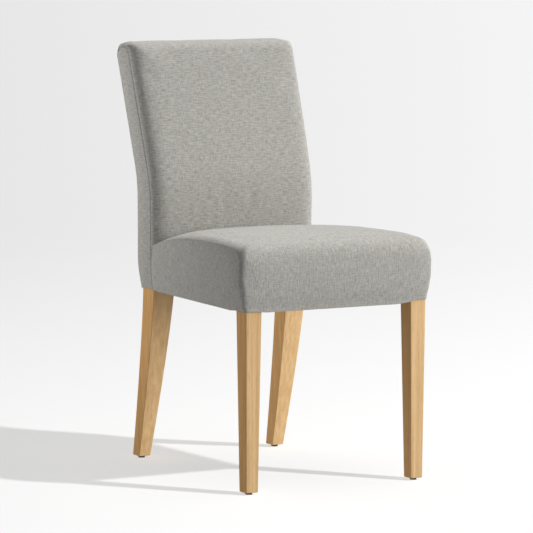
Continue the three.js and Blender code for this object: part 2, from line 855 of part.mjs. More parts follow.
// A whole cushion as one closed body: wrap, both sides and the underside
function cushionBody(path, frontCornerRow, rearCornerRow, halfAt, limit) {
  const wrap = wrapGrid(path, halfAt, limit);
  const left = sidePanel(path, frontCornerRow, rearCornerRow, halfAt, limit, -1);
  const right = sidePanel(path, frontCornerRow, rearCornerRow, halfAt, limit, 1);
  const steps = left[0].length - 1;
  const last = wrap.length - 1;
  const bottom = left[0].map((leftPoint, step) => wrap[0].map((frontPoint, column) => {
    if (column === 0) {
      return leftPoint;
    }
    if (column === wrap[0].length - 1) {
      return right[0][step];
    }
    return frontPoint.clone().lerp(wrap[last][column], step / steps);
  }));
  const triangles = [
    ...gridTriangles(wrap, false),
    ...gridTriangles(left, true),
    ...gridTriangles(right, false),
    ...gridTriangles(bottom, true),
  ];
  return closedGeometry(triangles);
}

// Seat

const seatHigh = frontLegFace + seatHighPoint;
const seatRearSeam = frontSeamLine - creviceGap;
const seatRearFace = frontSeamLine - backFrontPuff - creviceGap;
const seatArcEnd = frontLegFace - frontStand + seatFrontPuff + seatFrontRadius;
const seatRound = { radius: seatEdgeRadius, crownShare: seatCrownShare };
const seatFrontRound = { radius: seatFrontEdgeRadius, crownShare: seatCrownShare };
const seatCornerRound = { radius: seatCornerRadius, crownShare: seatCornerCrownShare };
const backRound = { radius: backEdgeRadius, crownShare: backCrownShare };
const backRearRound = { radius: backRearEdgeRadius, crownShare: backCrownShare };
const seatCornerRow = wallSteps + cornerSteps / 2;
const seatRearRow = wallSteps + cornerSteps + seatTopSteps;

function seatRear(y) {
  return Math.max(0, (y - seatHigh) / (seatRearSeam - seatHigh)) ** 3;
}

function seatSeamHeight(y) {
  const forward = Math.max(0, (seatHigh - y) / (seatHigh - seatArcEnd));
  return seatFrontHeight + seatSideRise * (1 - forward ** 2) - seatCornerDrop * seatRear(y);
}

function seatCrownHeight(y) {
  const forward = Math.max(0, (seatHigh - y) / (seatHigh - seatArcEnd));
  return seatFrontHeight + seatPuff + seatSideRise * (1 - forward ** 2) - seatBackDrop * seatRear(y);
}

function seatRoundAt(y) {
  return mixRound(seatRound, seatCornerRound, seatRear(y));
}

// The crowned top at any place, which turns down by the rear drop where it meets the back
function seatTopHeight(x, y, inset, rearDrop) {
  const half = seatHalf(y, seatFrontHeight) - inset;
  const full = fullness(Math.min(Math.abs(x), half), half, seatRoundAt(y));
  return mix(seatSeamHeight(y), seatCrownHeight(y) - rearDrop, full) - inset;
}

// Side view of the seat, drawn in everywhere but at its lower edge
function seatPath(inset, trim) {
  const rows = [];
  const face = (height) => frontLegFace - frontRoom(height) + inset;
  for (const height of [seatUnderside, ...evenly(wallSteps, seatUnderside, seatArcHeight)]) {
    rows.push({
      seam: { y: face(height) + frontPuff(height) + trim, z: height },
      centre: { y: face(height), z: height },
      round: seatFrontRound,
    });
  }
  const seamRadius = seatFrontRadius - inset - trim;
  const crownDepth = seatFrontRadius + seatFrontPuff - inset;
  const crownRise = seatFrontRadius + seatPuff - inset;
  for (const angle of evenly(cornerSteps, 0, Math.PI / 2)) {
    rows.push({
      seam: {
        y: seatArcEnd - seamRadius * Math.cos(angle),
        z: seatArcHeight + seamRadius * Math.sin(angle),
      },
      centre: {
        y: seatArcEnd - crownDepth * Math.cos(angle),
        z: seatArcHeight + crownRise * Math.sin(angle),
      },
      round: mixRound(seatFrontRound, seatRound, Math.sin(angle)),
    });
  }
  const flatSteps = seatTopSteps - seatBackRoundSteps;
  const rearRound = seatBackRound - inset;
  for (let step = 1; step <= seatTopSteps; step += 1) {
    const flatShare = Math.min(1, step / flatSteps);
    const roundShare = Math.max(0, (step - flatSteps) / seatBackRoundSteps);
    const turnIn = rearRound * Math.sin(roundShare * Math.PI / 2);
    const rearDrop = rearRound * (1 - Math.cos(roundShare * Math.PI / 2));
    const y = mix(seatArcEnd, seatRearSeam - trim - rearRound, flatShare) + turnIn;
    const centreY = mix(seatArcEnd, seatRearFace - rearRound, flatShare) + turnIn;
    rows.push({
      seam: { y, z: seatSeamHeight(y) - inset - trim },
      centre: { y: centreY, z: seatTopHeight(0, centreY, inset, rearDrop) },
      round: seatRoundAt(y),
      depthRound: mixRound(seatRound, backRound, seatRear(y)),
      surface: (x, depth) => seatTopHeight(x, depth, inset, rearDrop),
    });
  }
  const lastTop = rows[rows.length - 1];
  for (const share of evenly(seatCornerRow, 0, 1)) {
    rows.push({
      seam: { y: lastTop.seam.y, z: mix(lastTop.seam.z, seatUnderside, share) },
      centre: { y: lastTop.centre.y, z: mix(lastTop.centre.z, seatUnderside, share) },
      round: mixRound(seatCornerRound, backRound, Math.sqrt(share)),
      depthRound: backRound,
    });
  }
  return rows;
}

// The seat stops short of the back's rounded face
function shortOfBack(inset) {
  return (x, y, z) => {
    const half = backHalf(y, z);
    const full = fullness(Math.min(Math.abs(x), half), half, backRound);
    return Math.min(y, frontSeam(z) - backFrontPuff * full - creviceGap - inset);
  };
}

function inSeat(inset) {
  return (y, z) => seatHalf(y, z) - inset;
}

// Everything inside the cover that is frame or webbing, as one block to cut out of the seat foam
function seatFrameBlock() {
  const wide = frontLegOuter + clearance;
  const narrow = rearLegOuter + clearance;
  const front = frontLegFace - clearance;
  const back = rearPostFront;
  const outline = [
    [-wide, front], [wide, front], [wide, frontLegBack], [narrow, back],
    [-narrow, back], [-wide, frontLegBack],
  ];
  const base = seatUnderside - cutOverrun;
  return upright(outline, base, foamBase - base);
}

function belowSkirts() {
  const half = frontLegOuter + sideStand + cutOverrun;
  const base = seatUnderside - cutOverrun;
  return upright(rectangle(half, -overallDepth, overallDepth), base, foamSkirtEnd - base);
}

function buildSeatCushion() {
  const filling = coverThickness + foamRoom;
  const body = cushionBody(
    seatPath(filling, 0), seatCornerRow, seatRearRow, inSeat(filling), shortOfBack(filling));
  place('seat_foam', carve(body, [seatFrameBlock(), belowSkirts()]), foam);

  const outer = wrapGrid(seatPath(0, 0), inSeat(0), shortOfBack(0));
  const inner = wrapGrid(seatPath(coverThickness, 0), inSeat(coverThickness), shortOfBack(0));
  const rows = seatRearRow + 1;
  place('seat_cover', clothPanel(outer.slice(0, rows), inner.slice(0, rows)), cloth);
  for (const { name, sign } of sides) {
    const panels = [0, coverThickness].map((inset) => sidePanel(
      seatPath(inset, seamGap), seatCornerRow, seatRearRow, inSeat(inset), shortOfBack(seamGap),
      sign));
    place(`seat_side_panel_${name}`, clothPanel(panels[0], panels[1]), cloth);
  }
}

// Back

const backCornerRow = backSteps + cornerSteps / 2;
const backRearRow = backSteps + cornerSteps + backTopSteps + cornerSteps / 2;

// Side view of the back: up the front, over the arched top and down the rear
function backSide(frontAt, rearAt, top, frontRadius, rearRadius) {
  const frontTurn = Math.PI / 2 - rakeAngle;
  const rearTurn = Math.PI / 2 + rakeAngle;
  const frontTangent = frontRadius * Math.tan(frontTurn / 2);
  const rearTangent = rearRadius * Math.tan(rearTurn / 2);
  const frontEnd = top - frontTangent * cosRake;
  const rearEnd = top - rearTangent * cosRake;
  const points = [{ y: frontAt(seatUnderside), z: seatUnderside }];
  for (const height of evenly(backSteps, seatUnderside, frontEnd)) {
    points.push({ y: frontAt(height), z: height });
  }
  const frontCentre = { y: frontAt(top) + frontTangent, z: top - frontRadius };
  for (const angle of evenly(cornerSteps, -frontTurn, 0)) {
    points.push({
      y: frontCentre.y + frontRadius * Math.sin(angle),
      z: frontCentre.z + frontRadius * Math.cos(angle),
    });
  }
  const rearCentre = { y: rearAt(top) - rearTangent, z: top - rearRadius };
  for (const y of evenly(backTopSteps, frontCentre.y, rearCentre.y)) {
    points.push({ y, z: top });
  }
  for (const angle of evenly(cornerSteps, 0, rearTurn)) {
    points.push({
      y: rearCentre.y + rearRadius * Math.sin(angle),
      z: rearCentre.z + rearRadius * Math.cos(angle),
    });
  }
  for (const height of evenly(backSteps, rearEnd, seatUnderside)) {
    points.push({ y: rearAt(height), z: height });
  }
  return points;
}

function backPath(inset, trim) {
  const shift = inset + trim;
  const seam = backSide(
    (height) => frontSeam(height) + shift, (height) => rearSeam(height) - shift,
    archTop - shift, backTopFrontRadius - inset, backTopRearRadius - inset);
  const centre = backSide(
    (height) => frontSeam(height) - backFrontPuff + inset,
    (height) => rearSeam(height) + rearPuff(height) - inset,
    overallHeight - inset,
    backTopFrontRadius + backTopPuff - inset, backTopRearRadius + backRearPuff - inset);
  return seam.map((point, row) => {
    const turning = (row - backCornerRow - 2 * backTopSteps) / cornerSteps;
    const rearShare = Math.min(1, Math.max(0, turning));
    return {
      seam: point,
      centre: centre[row],
      round: mixRound(backRound, backRearRound, rearShare),
    };
  });
}

function inBack(inset) {
  return (y, z) => backHalf(y, z) - inset;
}

function freely(x, y) {
  return y;
}

// Posts, rails and webbing as one bent block, to cut out of the back foam
function backFrameBlock() {
  const heights = [seatUnderside - cutOverrun, frontBendStart];
  const bendEnd = rearBendStart + rearBendRadius * sinRake;
  heights.push(...evenly(bendSteps, frontBendStart, bendEnd));
  heights.push(postTop + clearance);
  const rings = heights.map((height) => {
    const half = postOuter(height) + clearance;
    const front = postFront(height) - webThickness - backWebRoom - webCurveRoom;
    return plankRing(-half, half, front, postBack(height) + clearance, height, 0);
  });
  return loft(rings);
}

// The room behind the seat, below the inside cover's lower end
function behindSeat() {
  const half = frontLegOuter + sideStand + cutOverrun;
  const base = seatUnderside - cutOverrun;
  const room = rectangle(half, -overallDepth, rearPostFront);
  return upright(room, base, backCoverBase - base);
}

// Draws the end of a sheet back from the seam by the gap
function trimStart(grid) {
  const [first, second, ...rest] = grid;
  const trimmed = first.map((point, column) => {
    const along = second[column].clone().sub(point).normalize();
    return point.clone().addScaledVector(along, seamGap);
  });
  return [trimmed, second, ...rest];
}

function buildBackCushion() {
  const filling = coverThickness + foamRoom;
  const body = cushionBody(
    backPath(filling, 0), backCornerRow, backRearRow, inBack(filling), freely);
  place('back_foam', carve(body, [backFrameBlock(), behindSeat(), belowSkirts()]), foam);

  const outer = wrapGrid(backPath(0, 0), inBack(0), freely);
  const inner = wrapGrid(backPath(coverThickness, 0), inBack(coverThickness), freely);
  const firstRow = outer.findIndex((row) => row[0].z >= backCoverBase);
  const inside = [outer, inner].map((grid) => grid.slice(firstRow, backRearRow + 1));
  const outside = [outer, inner].map((grid) => trimStart(grid.slice(backRearRow)));
  place('inside_back_cover', clothPanel(inside[0], inside[1]), cloth);
  place('outside_back_cover', clothPanel(outside[0], outside[1]), cloth);
  for (const { name, sign } of sides) {
    const panels = [0, coverThickness].map((inset) => sidePanel(
      backPath(inset, seamGap), backCornerRow, backRearRow, inBack(inset), freely, sign));
    place(`back_side_panel_${name}`, clothPanel(panels[0], panels[1]), cloth);
  }
}

// Dust cover: stapled under the rails and cut out round the legs
function buildDustCover() {
  const front = frontLegFace + dustCoverMargin;
  const back = rearPostBack - dustCoverMargin;
  const frontInner = frontLegOuter - frontLegWidth - clearance;
  const rearInner = rearLegOuter - rearLegWidth - clearance;
  const sideFront = frontLegBack + clearance;
  const sideBack = rearPostFront - clearance;
  const half = [
    [frontInner, front], [frontInner, sideFront],
    [frameOuter(sideFront) - dustCoverMargin, sideFront],
    [frameOuter(sideBack) - dustCoverMargin, sideBack],
    [rearInner, sideBack], [rearInner, back],
  ];
  const outline = [...half, ...half.map(([x, y]) => [-x, y]).reverse()];
  const base = railBase - clearance - dustCoverThickness;
  place('dust_cover', upright(outline, base, dustCoverThickness), cambric);
}

buildLegs();
buildSeatFrame();
buildBackFrame();
buildSeatWebbing();
buildBackWebbing();
buildSeatCushion();
buildBackCushion();
buildDustCover();

export default chair;
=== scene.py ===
# Parsons chair: oak legs, a webbed hardwood frame, and a sewn cloth cover over foam.
import math
import bmesh
import bpy
import numpy as np
from mathutils import Matrix, Vector
from mathutils.kdtree import KDTree


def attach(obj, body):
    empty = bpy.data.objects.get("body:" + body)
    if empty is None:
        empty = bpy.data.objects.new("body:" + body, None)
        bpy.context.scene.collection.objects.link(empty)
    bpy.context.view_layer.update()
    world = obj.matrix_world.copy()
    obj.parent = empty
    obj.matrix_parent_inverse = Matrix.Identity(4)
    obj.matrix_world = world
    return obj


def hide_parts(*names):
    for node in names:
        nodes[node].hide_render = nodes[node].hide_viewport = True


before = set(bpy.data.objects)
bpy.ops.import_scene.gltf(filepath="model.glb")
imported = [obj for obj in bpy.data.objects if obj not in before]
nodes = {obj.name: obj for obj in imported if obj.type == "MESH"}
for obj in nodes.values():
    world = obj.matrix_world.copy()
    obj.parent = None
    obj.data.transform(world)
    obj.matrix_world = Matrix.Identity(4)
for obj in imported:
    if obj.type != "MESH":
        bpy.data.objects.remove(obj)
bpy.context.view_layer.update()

bothSides = ((-1, "Left"), (1, "Right"))
mm = 0.001
print("frame:", len(nodes), "solids")


# Objects

def addObject(name, data):
    item = bpy.data.objects.new(name, data)
    bpy.context.collection.objects.link(item)
    return item


def addModifier(item, name, kind, **settings):
    made = item.modifiers.new(name, kind)
    for label, value in settings.items():
        setattr(made, label, value)
    return made


# Points are in millimetres
def newMesh(name, points, faces, material=None):
    mesh = bpy.data.meshes.new(name)
    mesh.from_pydata((np.asarray(points, float) * mm).tolist(), [], faces)
    if material:
        mesh.materials.append(material)
    return mesh


# Every piece is part of the chair's one body
def declare(item, cadName=None):
    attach(item, "root")
    if cadName:
        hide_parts(cadName)


# Faces between rings that hold the same count of points
def tubeFaces(levels, count):
    return [(low + k, low + (k + 1) % count, low + count + (k + 1) % count, low + count + k)
            for low in range(0, (levels - 1) * count, count) for k in range(count)]


# Shader nodes

# Each value is a plain one or the output of another node
def give(made, values):
    for socket, value in values.items():
        if isinstance(value, bpy.types.NodeSocket):
            made.id_data.links.new(value, made.inputs[socket])
        else:
            made.inputs[socket].default_value = value


def node(tree, kind, values=None, **settings):
    made = tree.nodes.new(kind)
    for name, value in settings.items():
        setattr(made, name, value)
    give(made, values or {})
    return made.outputs


# More than two values are taken in turn
def calc(tree, operation, first, *others):
    for other in others or (0.0,):
        first = node(tree, "ShaderNodeMath", {0: first, 1: other}, operation=operation)[0]
    return first


def plus(tree, *values):
    return calc(tree, "ADD", *values)


def times(tree, *values):
    return calc(tree, "MULTIPLY", *values)


def colourMix(tree, factor, first, second, blend="MIX"):
    values = {0: factor}
    for socket, colour in ((6, first), (7, second)):
        values[socket] = (*colour, 1) if isinstance(colour, tuple) else colour
    return node(tree, "ShaderNodeMix", values, data_type="RGBA", blend_type=blend)[2]


def remap(tree, value, low, high, newLow=0.0, newHigh=1.0, **settings):
    values = {0: value, 1: low, 2: high, 3: newLow, 4: newHigh}
    return node(tree, "ShaderNodeMapRange", values, **settings)[0]


def noiseAt(tree, place, stretch, detail, roughness):
    placed = node(tree, "ShaderNodeMapping", {"Vector": place, "Scale": stretch})[0]
    values = {"Vector": placed, "Scale": 1.0, "Detail": detail, "Roughness": roughness}
    return node(tree, "ShaderNodeTexNoise", values)[0]


def bumpFrom(tree, height, strength, distance):
    values = {"Height": height, "Strength": strength, "Distance": distance}
    return node(tree, "ShaderNodeBump", values)[0]


def newMaterial(name, roughness):
    material = bpy.data.materials.new(name)
    material.use_nodes = True
    surface = material.node_tree.nodes["Principled BSDF"]
    give(surface, {"Roughness": roughness})
    return material, material.node_tree, surface


# A group with one vector and some numbers as inputs, and numbers as outputs
def newGroup(name, vector, numbers, results):
    group = bpy.data.node_groups.new(name, "ShaderNodeTree")
    sockets = [(vector, "INPUT", "Vector")]
    sockets += [(label, "INPUT", "Float") for label in numbers]
    sockets += [(label, "OUTPUT", "Float") for label in results]
    for label, way, kind in sockets:
        group.interface.new_socket(name=label, in_out=way, socket_type="NodeSocket" + kind)
    return group, node(group, "NodeGroupInput")


# Camera, at the photograph's viewing angle

camera = {
    "place": (-4.16515, -7.1299, 1.3582),
    "back": (-0.50162, -0.85806, 0.11002),
    "roll": 0.42,  # degrees
    "lens": 256.66, "sensor": 36.0,
    "clip": (0.1, 200),
}


def buildCamera():
    data = bpy.data.cameras.new("camera")
    data.lens, data.sensor_width = camera["lens"], camera["sensor"]
    data.clip_start, data.clip_end = camera["clip"]
    back = Vector(camera["back"]).normalized()
    right = Vector((0, 0, 1)).cross(back).normalized()
    up = back.cross(right)
    roll = math.radians(camera["roll"])
    turnedRight = right * math.cos(roll) + up * math.sin(roll)
    turnedUp = up * math.cos(roll) - right * math.sin(roll)
    axes = Matrix((turnedRight, turnedUp, back)).transposed().to_4x4()
    item = addObject("camera", data)
    item.matrix_world = Matrix.Translation(camera["place"]) @ axes
    bpy.context.scene.camera = item


# Studio: soft light from high on the right, pale floor with painted light and shade across it

studio = {
    "skyLight": 0.06,
    "skyShown": (0.83, 0.83, 0.83),
    "chairSuns": {  # azimuth and elevation in degrees, strength, size in degrees
        "keyLight": (40, 19, 1.90, 40),
        "sideLight": (80, 45, 2.60, 40),
        "rearLight": (130, 45, 1.45, 40),
        "frontFill": (-45, 15, 0.22, 60),
    },
    "rearLegSuns": {"lowLight": (20, 6, 1.15, 30)},
    "floorSuns": {"floorKey": (39, 43, 1.55, 2.5), "floorFill": (0, 90, 2.48, 60)},
    "shadowless": ("floorFill",),
    "softBoxes": {  # place, what it aims at, power, size
        "leftBox": ((-0.8, 0.8, 0.72), (0, 0, 0.45), 6.2, 0.5),
        "rightBox": ((0.6, -0.8, 0.45), (0.15, -0.3, 0.45), 0.7, 0.3),
    },
}
floorForm = {
    "radius": 60000.0, "sides": 96,
    # Painted light and shade: the floor goes from its near colour to its far one away from the
    # camera and further out, and is lighter to the right
    "near": (0.84, 0.84, 0.84),
    "far": (0.63, 0.63, 0.63),
    "bounce": (0.36, 0.36, 0.36),  # as the chair's cloth and wood see it
    "away": (0.504, 0.864, 0),  # direction in which painted shade darkens the floor
    "paintedFalloff": (-1.2, 5.5, 0.6),  # start and end along it in metres, and share at the end
    "reach": (4.0, 30.0, 0.62),  # the same in any direction
    "paintedSideLight": -3.2,  # painted light, lighter to the right
    "paintedSideLightMost": 0.25,
    "cameraAway": 8.4,  # metres
    "nearest": 4.0, "speckScale": 3.0, "speck": 0.02, "roughness": 0.95, "specular": 0.1,
}


def addLight(name, kind, strength, towards, size):
    data = bpy.data.lights.new(name, kind)
    data.energy = strength
    setattr(data, "angle" if kind == "SUN" else "size", size)
    item = addObject(name, data)
    item.rotation_euler = towards.to_track_quat("Z", "Y").to_euler()
    return item


def addSuns(group):
    made = []
    for name, (azimuth, elevation, strength, size) in studio[group].items():
        a, e = math.radians(azimuth), math.radians(elevation)
        flat = math.cos(e)
        towards = Vector((math.sin(a) * flat, -math.cos(a) * flat, math.sin(e)))
        made.append(addLight(name, "SUN", strength, towards, math.radians(size)))
    return made


def addBoxes():
    made = []
    for name, (place, aim, power, size) in studio["softBoxes"].items():
        item = addLight(name, "AREA", power, Vector(place) - Vector(aim), size)
        item.location = place
        item.visible_camera = item.visible_glossy = False
        made.append(item)
    return made


# Lights that shine on some pieces only
def lightOnly(name, lights, items):
    lit = bpy.data.collections.new(name)
    for item in items:
        lit.objects.link(item)
    for light in lights:
        light.light_linking.receiver_collection = lit


# Rays that show the background as it is seen, directly or in a glossy or clear surface
def seenRays(tree):
    path = node(tree, "ShaderNodeLightPath")
    rays = ("Is Camera Ray", "Is Glossy Ray", "Is Transmission Ray")
    return calc(tree, "MAXIMUM", *(path[name] for name in rays))


def buildStudio():
    scene = bpy.context.scene
    scene.view_settings.view_transform = "Standard"
    scene.world = bpy.data.worlds.new("studio")
    scene.world.use_nodes = True
    tree = scene.world.node_tree
    tree.nodes.clear()
    shades = [node(tree, "ShaderNodeBackground", {"Color": (*colour, 1), "Strength": strength})[0]
              for colour, strength in (((1, 1, 1), studio["skyLight"]), (studio["skyShown"], 1.0))]
    picked = node(tree, "ShaderNodeMixShader", {0: seenRays(tree), 1: shades[0], 2: shades[1]})
    node(tree, "ShaderNodeOutputWorld", {"Surface": picked[0]})
    chairLights = addSuns("chairSuns") + addBoxes()
    legLights = addSuns("rearLegSuns")
    floorLights = addSuns("floorSuns")
    for item in floorLights:
        item.data.use_shadow = item.name not in studio["shadowless"]
    lightOnly("litFloor", floorLights, [buildFloor()])
    print("studio: floor, sky,", len(chairLights), "lights on the chair,",
          len(floorLights), "on the floor")
    return chairLights, legLights


def buildFloor():
    form = floorForm
    material, tree, surface = newMaterial("paperFloor", form["roughness"])
    place = node(tree, "ShaderNodeTexCoord")["Object"]
    ahead = Vector(form["away"])

    def measured(operation, along=(0, 0, 0)):
        values = {0: place, 1: along}
        return node(tree, "ShaderNodeVectorMath", values, operation=operation)["Value"]

    def faded(value, start, end, share):
        return remap(tree, value, start, end, 0, share, interpolation_type="SMOOTHSTEP")

    # Painted falloff of the light: darker away from the camera and far out, with painted light
    # towards the right
    forward = measured("DOT_PRODUCT", ahead)
    beside = measured("DOT_PRODUCT", (ahead.y, -ahead.x, 0))
    paintedFalloff = calc(tree, "MAXIMUM", faded(forward, *form["paintedFalloff"]),
                faded(measured("LENGTH"), *form["reach"]))
    distance = calc(tree, "MAXIMUM", plus(tree, forward, form["cameraAway"]), form["nearest"])
    paintedSideLight = times(tree, calc(tree, "DIVIDE", beside, distance), form["paintedSideLight"])
    paintedSideLight = calc(tree, "MINIMUM", paintedSideLight, form["paintedSideLightMost"])
    paintedSideLight = calc(tree, "MAXIMUM", paintedSideLight, -form["paintedSideLightMost"])
    speck = node(tree, "ShaderNodeTexNoise",
                 {"Vector": place, "Scale": form["speckScale"], "Detail": 2.0})[0]
    shade = plus(tree, paintedFalloff, paintedSideLight, remap(tree, speck, 0, 1, -form["speck"], form["speck"]))
    seen = colourMix(tree, shade, form["near"], form["far"])
    give(surface, {"Base Color": colourMix(tree, seenRays(tree), form["bounce"], seen),
                   "Specular IOR Level": form["specular"]})
    turns = [2 * math.pi * k / form["sides"] for k in range(form["sides"])]
    ring = [(form["radius"] * math.cos(turn), form["radius"] * math.sin(turn), 0) for turn in turns]
    floor = addObject("studioFloor", newMesh("studioFloor", ring, [range(len(ring))], material))
    floor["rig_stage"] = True
    return floor


# The chair's own lights leave the floor to its two suns
def lightChair(chairLights, legLights):
    pieces = [item for item in bpy.context.scene.objects
              if item.type == "MESH" and not item.get("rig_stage")]
    lightOnly("litChair", chairLights, pieces)
    lightOnly("litRearLegs", legLights,
              [item for item in pieces if item.name.startswith("rearLeg")])


# Materials

coverFabric = {
    "light": (0.564, 0.546, 0.505),
    "dark": (0.266, 0.257, 0.235),
    "pitch": 0.00125,  # of the yarns, in metres
    "streak": 0.9, "slub": 0.9, "roughness": 0.92, "sheen": 0.12,
}
jute = {
    "light": (0.56, 0.46, 0.32),
    "dark": (0.30, 0.23, 0.15),
    "pitch": 0.0022, "streak": 1.0, "slub": 1.0, "roughness": 0.9, "sheen": 0.1,
}
oakFinish = {
    "light": (0.80, 0.540, 0.278),
    "dark": (0.590, 0.365, 0.160),
    "pore": (0.38, 0.20, 0.07),
    "side": (0.90, 0.76, 0.53),  # painted shade, multiplied into the faces to the left and right
    "roughness": (0.38, 0.56),
    "rings": 1.35, "pores": 1.0,
}
beechFinish = {
    "light": (0.76, 0.60, 0.42),
    "dark": (0.62, 0.46, 0.30),
    "pore": (0.42, 0.29, 0.18),
    "side": (1, 1, 1),
    "roughness": (0.55, 0.72),
    "rings": 0.7, "pores": 0.6,
}


# Scale of each noise in its three directions, its detail and roughness, and the tone it gives
weaveNoise = {
    "along": ((420, 70, 1), 2.0, 0.6, (0.25, 0.75, -0.55, 0.55)),
    "across": ((62, 440, 1), 2.0, 0.6, (0.25, 0.75, -0.85, 0.85)),
    "patch": ((130, 130, 1), 2.0, 0.6, (0.3, 0.7, -0.16, 0.16)),
    "fleck": ((620, 620, 1), 1.0, 0.5, (0.3, 0.7, -0.35, 0.35)),
}
grainNoise = {
    "drift": ((9, 9, 1.4), 2.0, 0.5, (0.3, 0.7, -0.3, 0.3)),
    "bands": ((150, 150, 3.2), 3.0, 0.55, (0.28, 0.72, -0.5, 0.5)),
    "fibres": ((620, 620, 9), 2.0, 0.6, (0.25, 0.75, -0.28, 0.28)),
    "dashes": ((1500, 1500, 42), 1.0, 0.5, (0.62, 0.72, 0.0, 1.0)),
}
# The yarns' tone from their height is painted shade in the hollows between them and painted light
# on their tops
yarn = {"hollow": 0.35, "tone": (0.0, 1.0, -0.42, 0.22), "streakHeight": 0.5}
clothLook = {
    "tone": (-1.0, 1.0), "roughness": (0.2, 0.8, 0.86, 0.98),
    "bump": 0.55, "bumpHeight": 0.35,  # share of the pitch
    "specular": 0.25, "sheenRoughness": 0.6,
}
woodLook = {
    "tone": (-0.8, 0.8), "pore": 0.55, "fibreHeight": 0.4,
    "paintedSideShade": (0.6, 0.9),  # normals towards X that get the painted side shade
    "roughness": 0.5, "bump": (0.35, 0.0003), "specular": 0.25,
}
fineLook = {"detail": (3.0, 0.65), "tone": (0.3, 0.7), "bump": 0.5}


def noisesOf(tree, place, table):
    raw = {name: noiseAt(tree, place, *values[:3]) for name, values in table.items()}
    return raw, {name: remap(tree, raw[name], *values[3]) for name, values in table.items()}


# Plain weave: yarn profile, with painted shade in the hollows between the yarns and painted light
# on their tops, uneven yarns along and across, and slubs. Cloth is in metres.
def weaveGroup():
    tree, given = newGroup("plainWeave", "Cloth", ("Pitch", "Streak", "Slub"),
                           ("Tone", "Height", "Fuzz"))
    cloth = given["Cloth"]
    split = node(tree, "ShaderNodeSeparateXYZ", {0: cloth})
    wave = []
    for axis in (0, 1):
        turns = calc(tree, "DIVIDE", split[axis], given["Pitch"])
        wave.append(calc(tree, "SINE", times(tree, turns, math.pi)))
    warp, weft = (calc(tree, "ABSOLUTE", side) for side in wave)
    overWarp = times(tree, warp, calc(tree, "POWER", weft, yarn["hollow"]))
    overWeft = times(tree, weft, calc(tree, "POWER", warp, yarn["hollow"]))
    onTop = calc(tree, "GREATER_THAN", times(tree, *wave), 0.0)
    height = plus(tree, times(tree, overWarp, onTop),
                  times(tree, overWeft, calc(tree, "SUBTRACT", 1.0, onTop)))
    raw, tones = noisesOf(tree, cloth, weaveNoise)
    streaks = times(tree, plus(tree, tones["along"], tones["across"]), given["Streak"])
    slubs = times(tree, tones["fleck"], given["Slub"])
    # The yarns' height adds painted shade in their hollows and painted light on their tops
    tone = plus(tree, streaks, slubs, tones["patch"], remap(tree, height, *yarn["tone"]))
    uneven = plus(tree, height, times(tree, streaks, yarn["streakHeight"]))
    node(tree, "NodeGroupOutput", {"Tone": tone, "Height": uneven, "Fuzz": raw["fleck"]})
    return tree


# Straight-grained wood. Wood is in metres with the grain along Z.
def grainGroup():
    tree, given = newGroup("straightGrain", "Wood", ("Rings", "Pores"),
                           ("Tone", "Pore", "Height"))
    raw, tones = noisesOf(tree, given["Wood"], grainNoise)
    rings = times(tree, tones["bands"], given["Rings"])
    tone = plus(tree, rings, tones["drift"], tones["fibres"])
    pore = times(tree, tones["dashes"], given["Pores"])
    height = calc(tree, "SUBTRACT", times(tree, raw["fibres"], woodLook["fibreHeight"]), pore)
    node(tree, "NodeGroupOutput", {"Tone": tone, "Pore": pore, "Height": height})
    return tree


# The cloth's places come from its map, or from two axes of the object
def clothMaterial(name, weave, finish, axes=None):
    look = clothLook
    material, tree, surface = newMaterial(name, finish["roughness"])
    if axes is None:
        place = node(tree, "ShaderNodeUVMap", uv_map="clothMap")[0]
    else:
        parts = node(tree, "ShaderNodeSeparateXYZ", {0: node(tree, "ShaderNodeTexCoord")["Object"]})
        place = node(tree, "ShaderNodeCombineXYZ", {0: parts[axes[0]], 1: parts[axes[1]]})[0]
    yarns = node(tree, "ShaderNodeGroup", {
        "Cloth": place, "Pitch": finish["pitch"], "Streak": finish["streak"],
        "Slub": finish["slub"]}, node_tree=weave)
    # The weave's tone carries its painted shade in the yarns' hollows
    factor = remap(tree, yarns["Tone"], *look["tone"])
    give(surface, {
        "Base Color": colourMix(tree, factor, finish["dark"], finish["light"]),
        "Roughness": remap(tree, yarns["Fuzz"], *look["roughness"]),
        "Normal": bumpFrom(tree, yarns["Height"], look["bump"],
                           finish["pitch"] * look["bumpHeight"]),
        "Specular IOR Level": look["specular"], "Sheen Weight": finish["sheen"],
        "Sheen Roughness": look["sheenRoughness"]})
    return material


def woodMaterial(name, grain, finish, turn=(0, 0, 0)):
    look = woodLook
    material, tree, surface = newMaterial(name, look["roughness"])
    place = node(tree, "ShaderNodeTexCoord")
    placed = node(tree, "ShaderNodeMapping", {
        "Vector": place["Object"], "Rotation": tuple(math.radians(angle) for angle in turn)})[0]
    wood = node(tree, "ShaderNodeGroup", {
        "Wood": placed, "Rings": finish["rings"], "Pores": finish["pores"]}, node_tree=grain)
    factor = remap(tree, wood["Tone"], *look["tone"])
    body = colourMix(tree, factor, finish["dark"], finish["light"])
    pored = colourMix(tree, times(tree, wood["Pore"], look["pore"]), body, finish["pore"])
    # Painted shade: faces turned to the left or right take the finish's side colour, multiplied in
    facing = node(tree, "ShaderNodeSeparateXYZ", {0: place["Normal"]})[0]
    paintedSideShade = remap(tree, calc(tree, "ABSOLUTE", facing), *look["paintedSideShade"])
    smooth, rough = finish["roughness"]
    give(surface, {
        "Base Color": colourMix(tree, paintedSideShade, pored, finish["side"], "MULTIPLY"),
        "Roughness": remap(tree, wood["Tone"], *look["tone"], rough, smooth),
        "Normal": bumpFrom(tree, wood["Height"], *look["bump"]),
        "Specular IOR Level": look["specular"]})
    return material


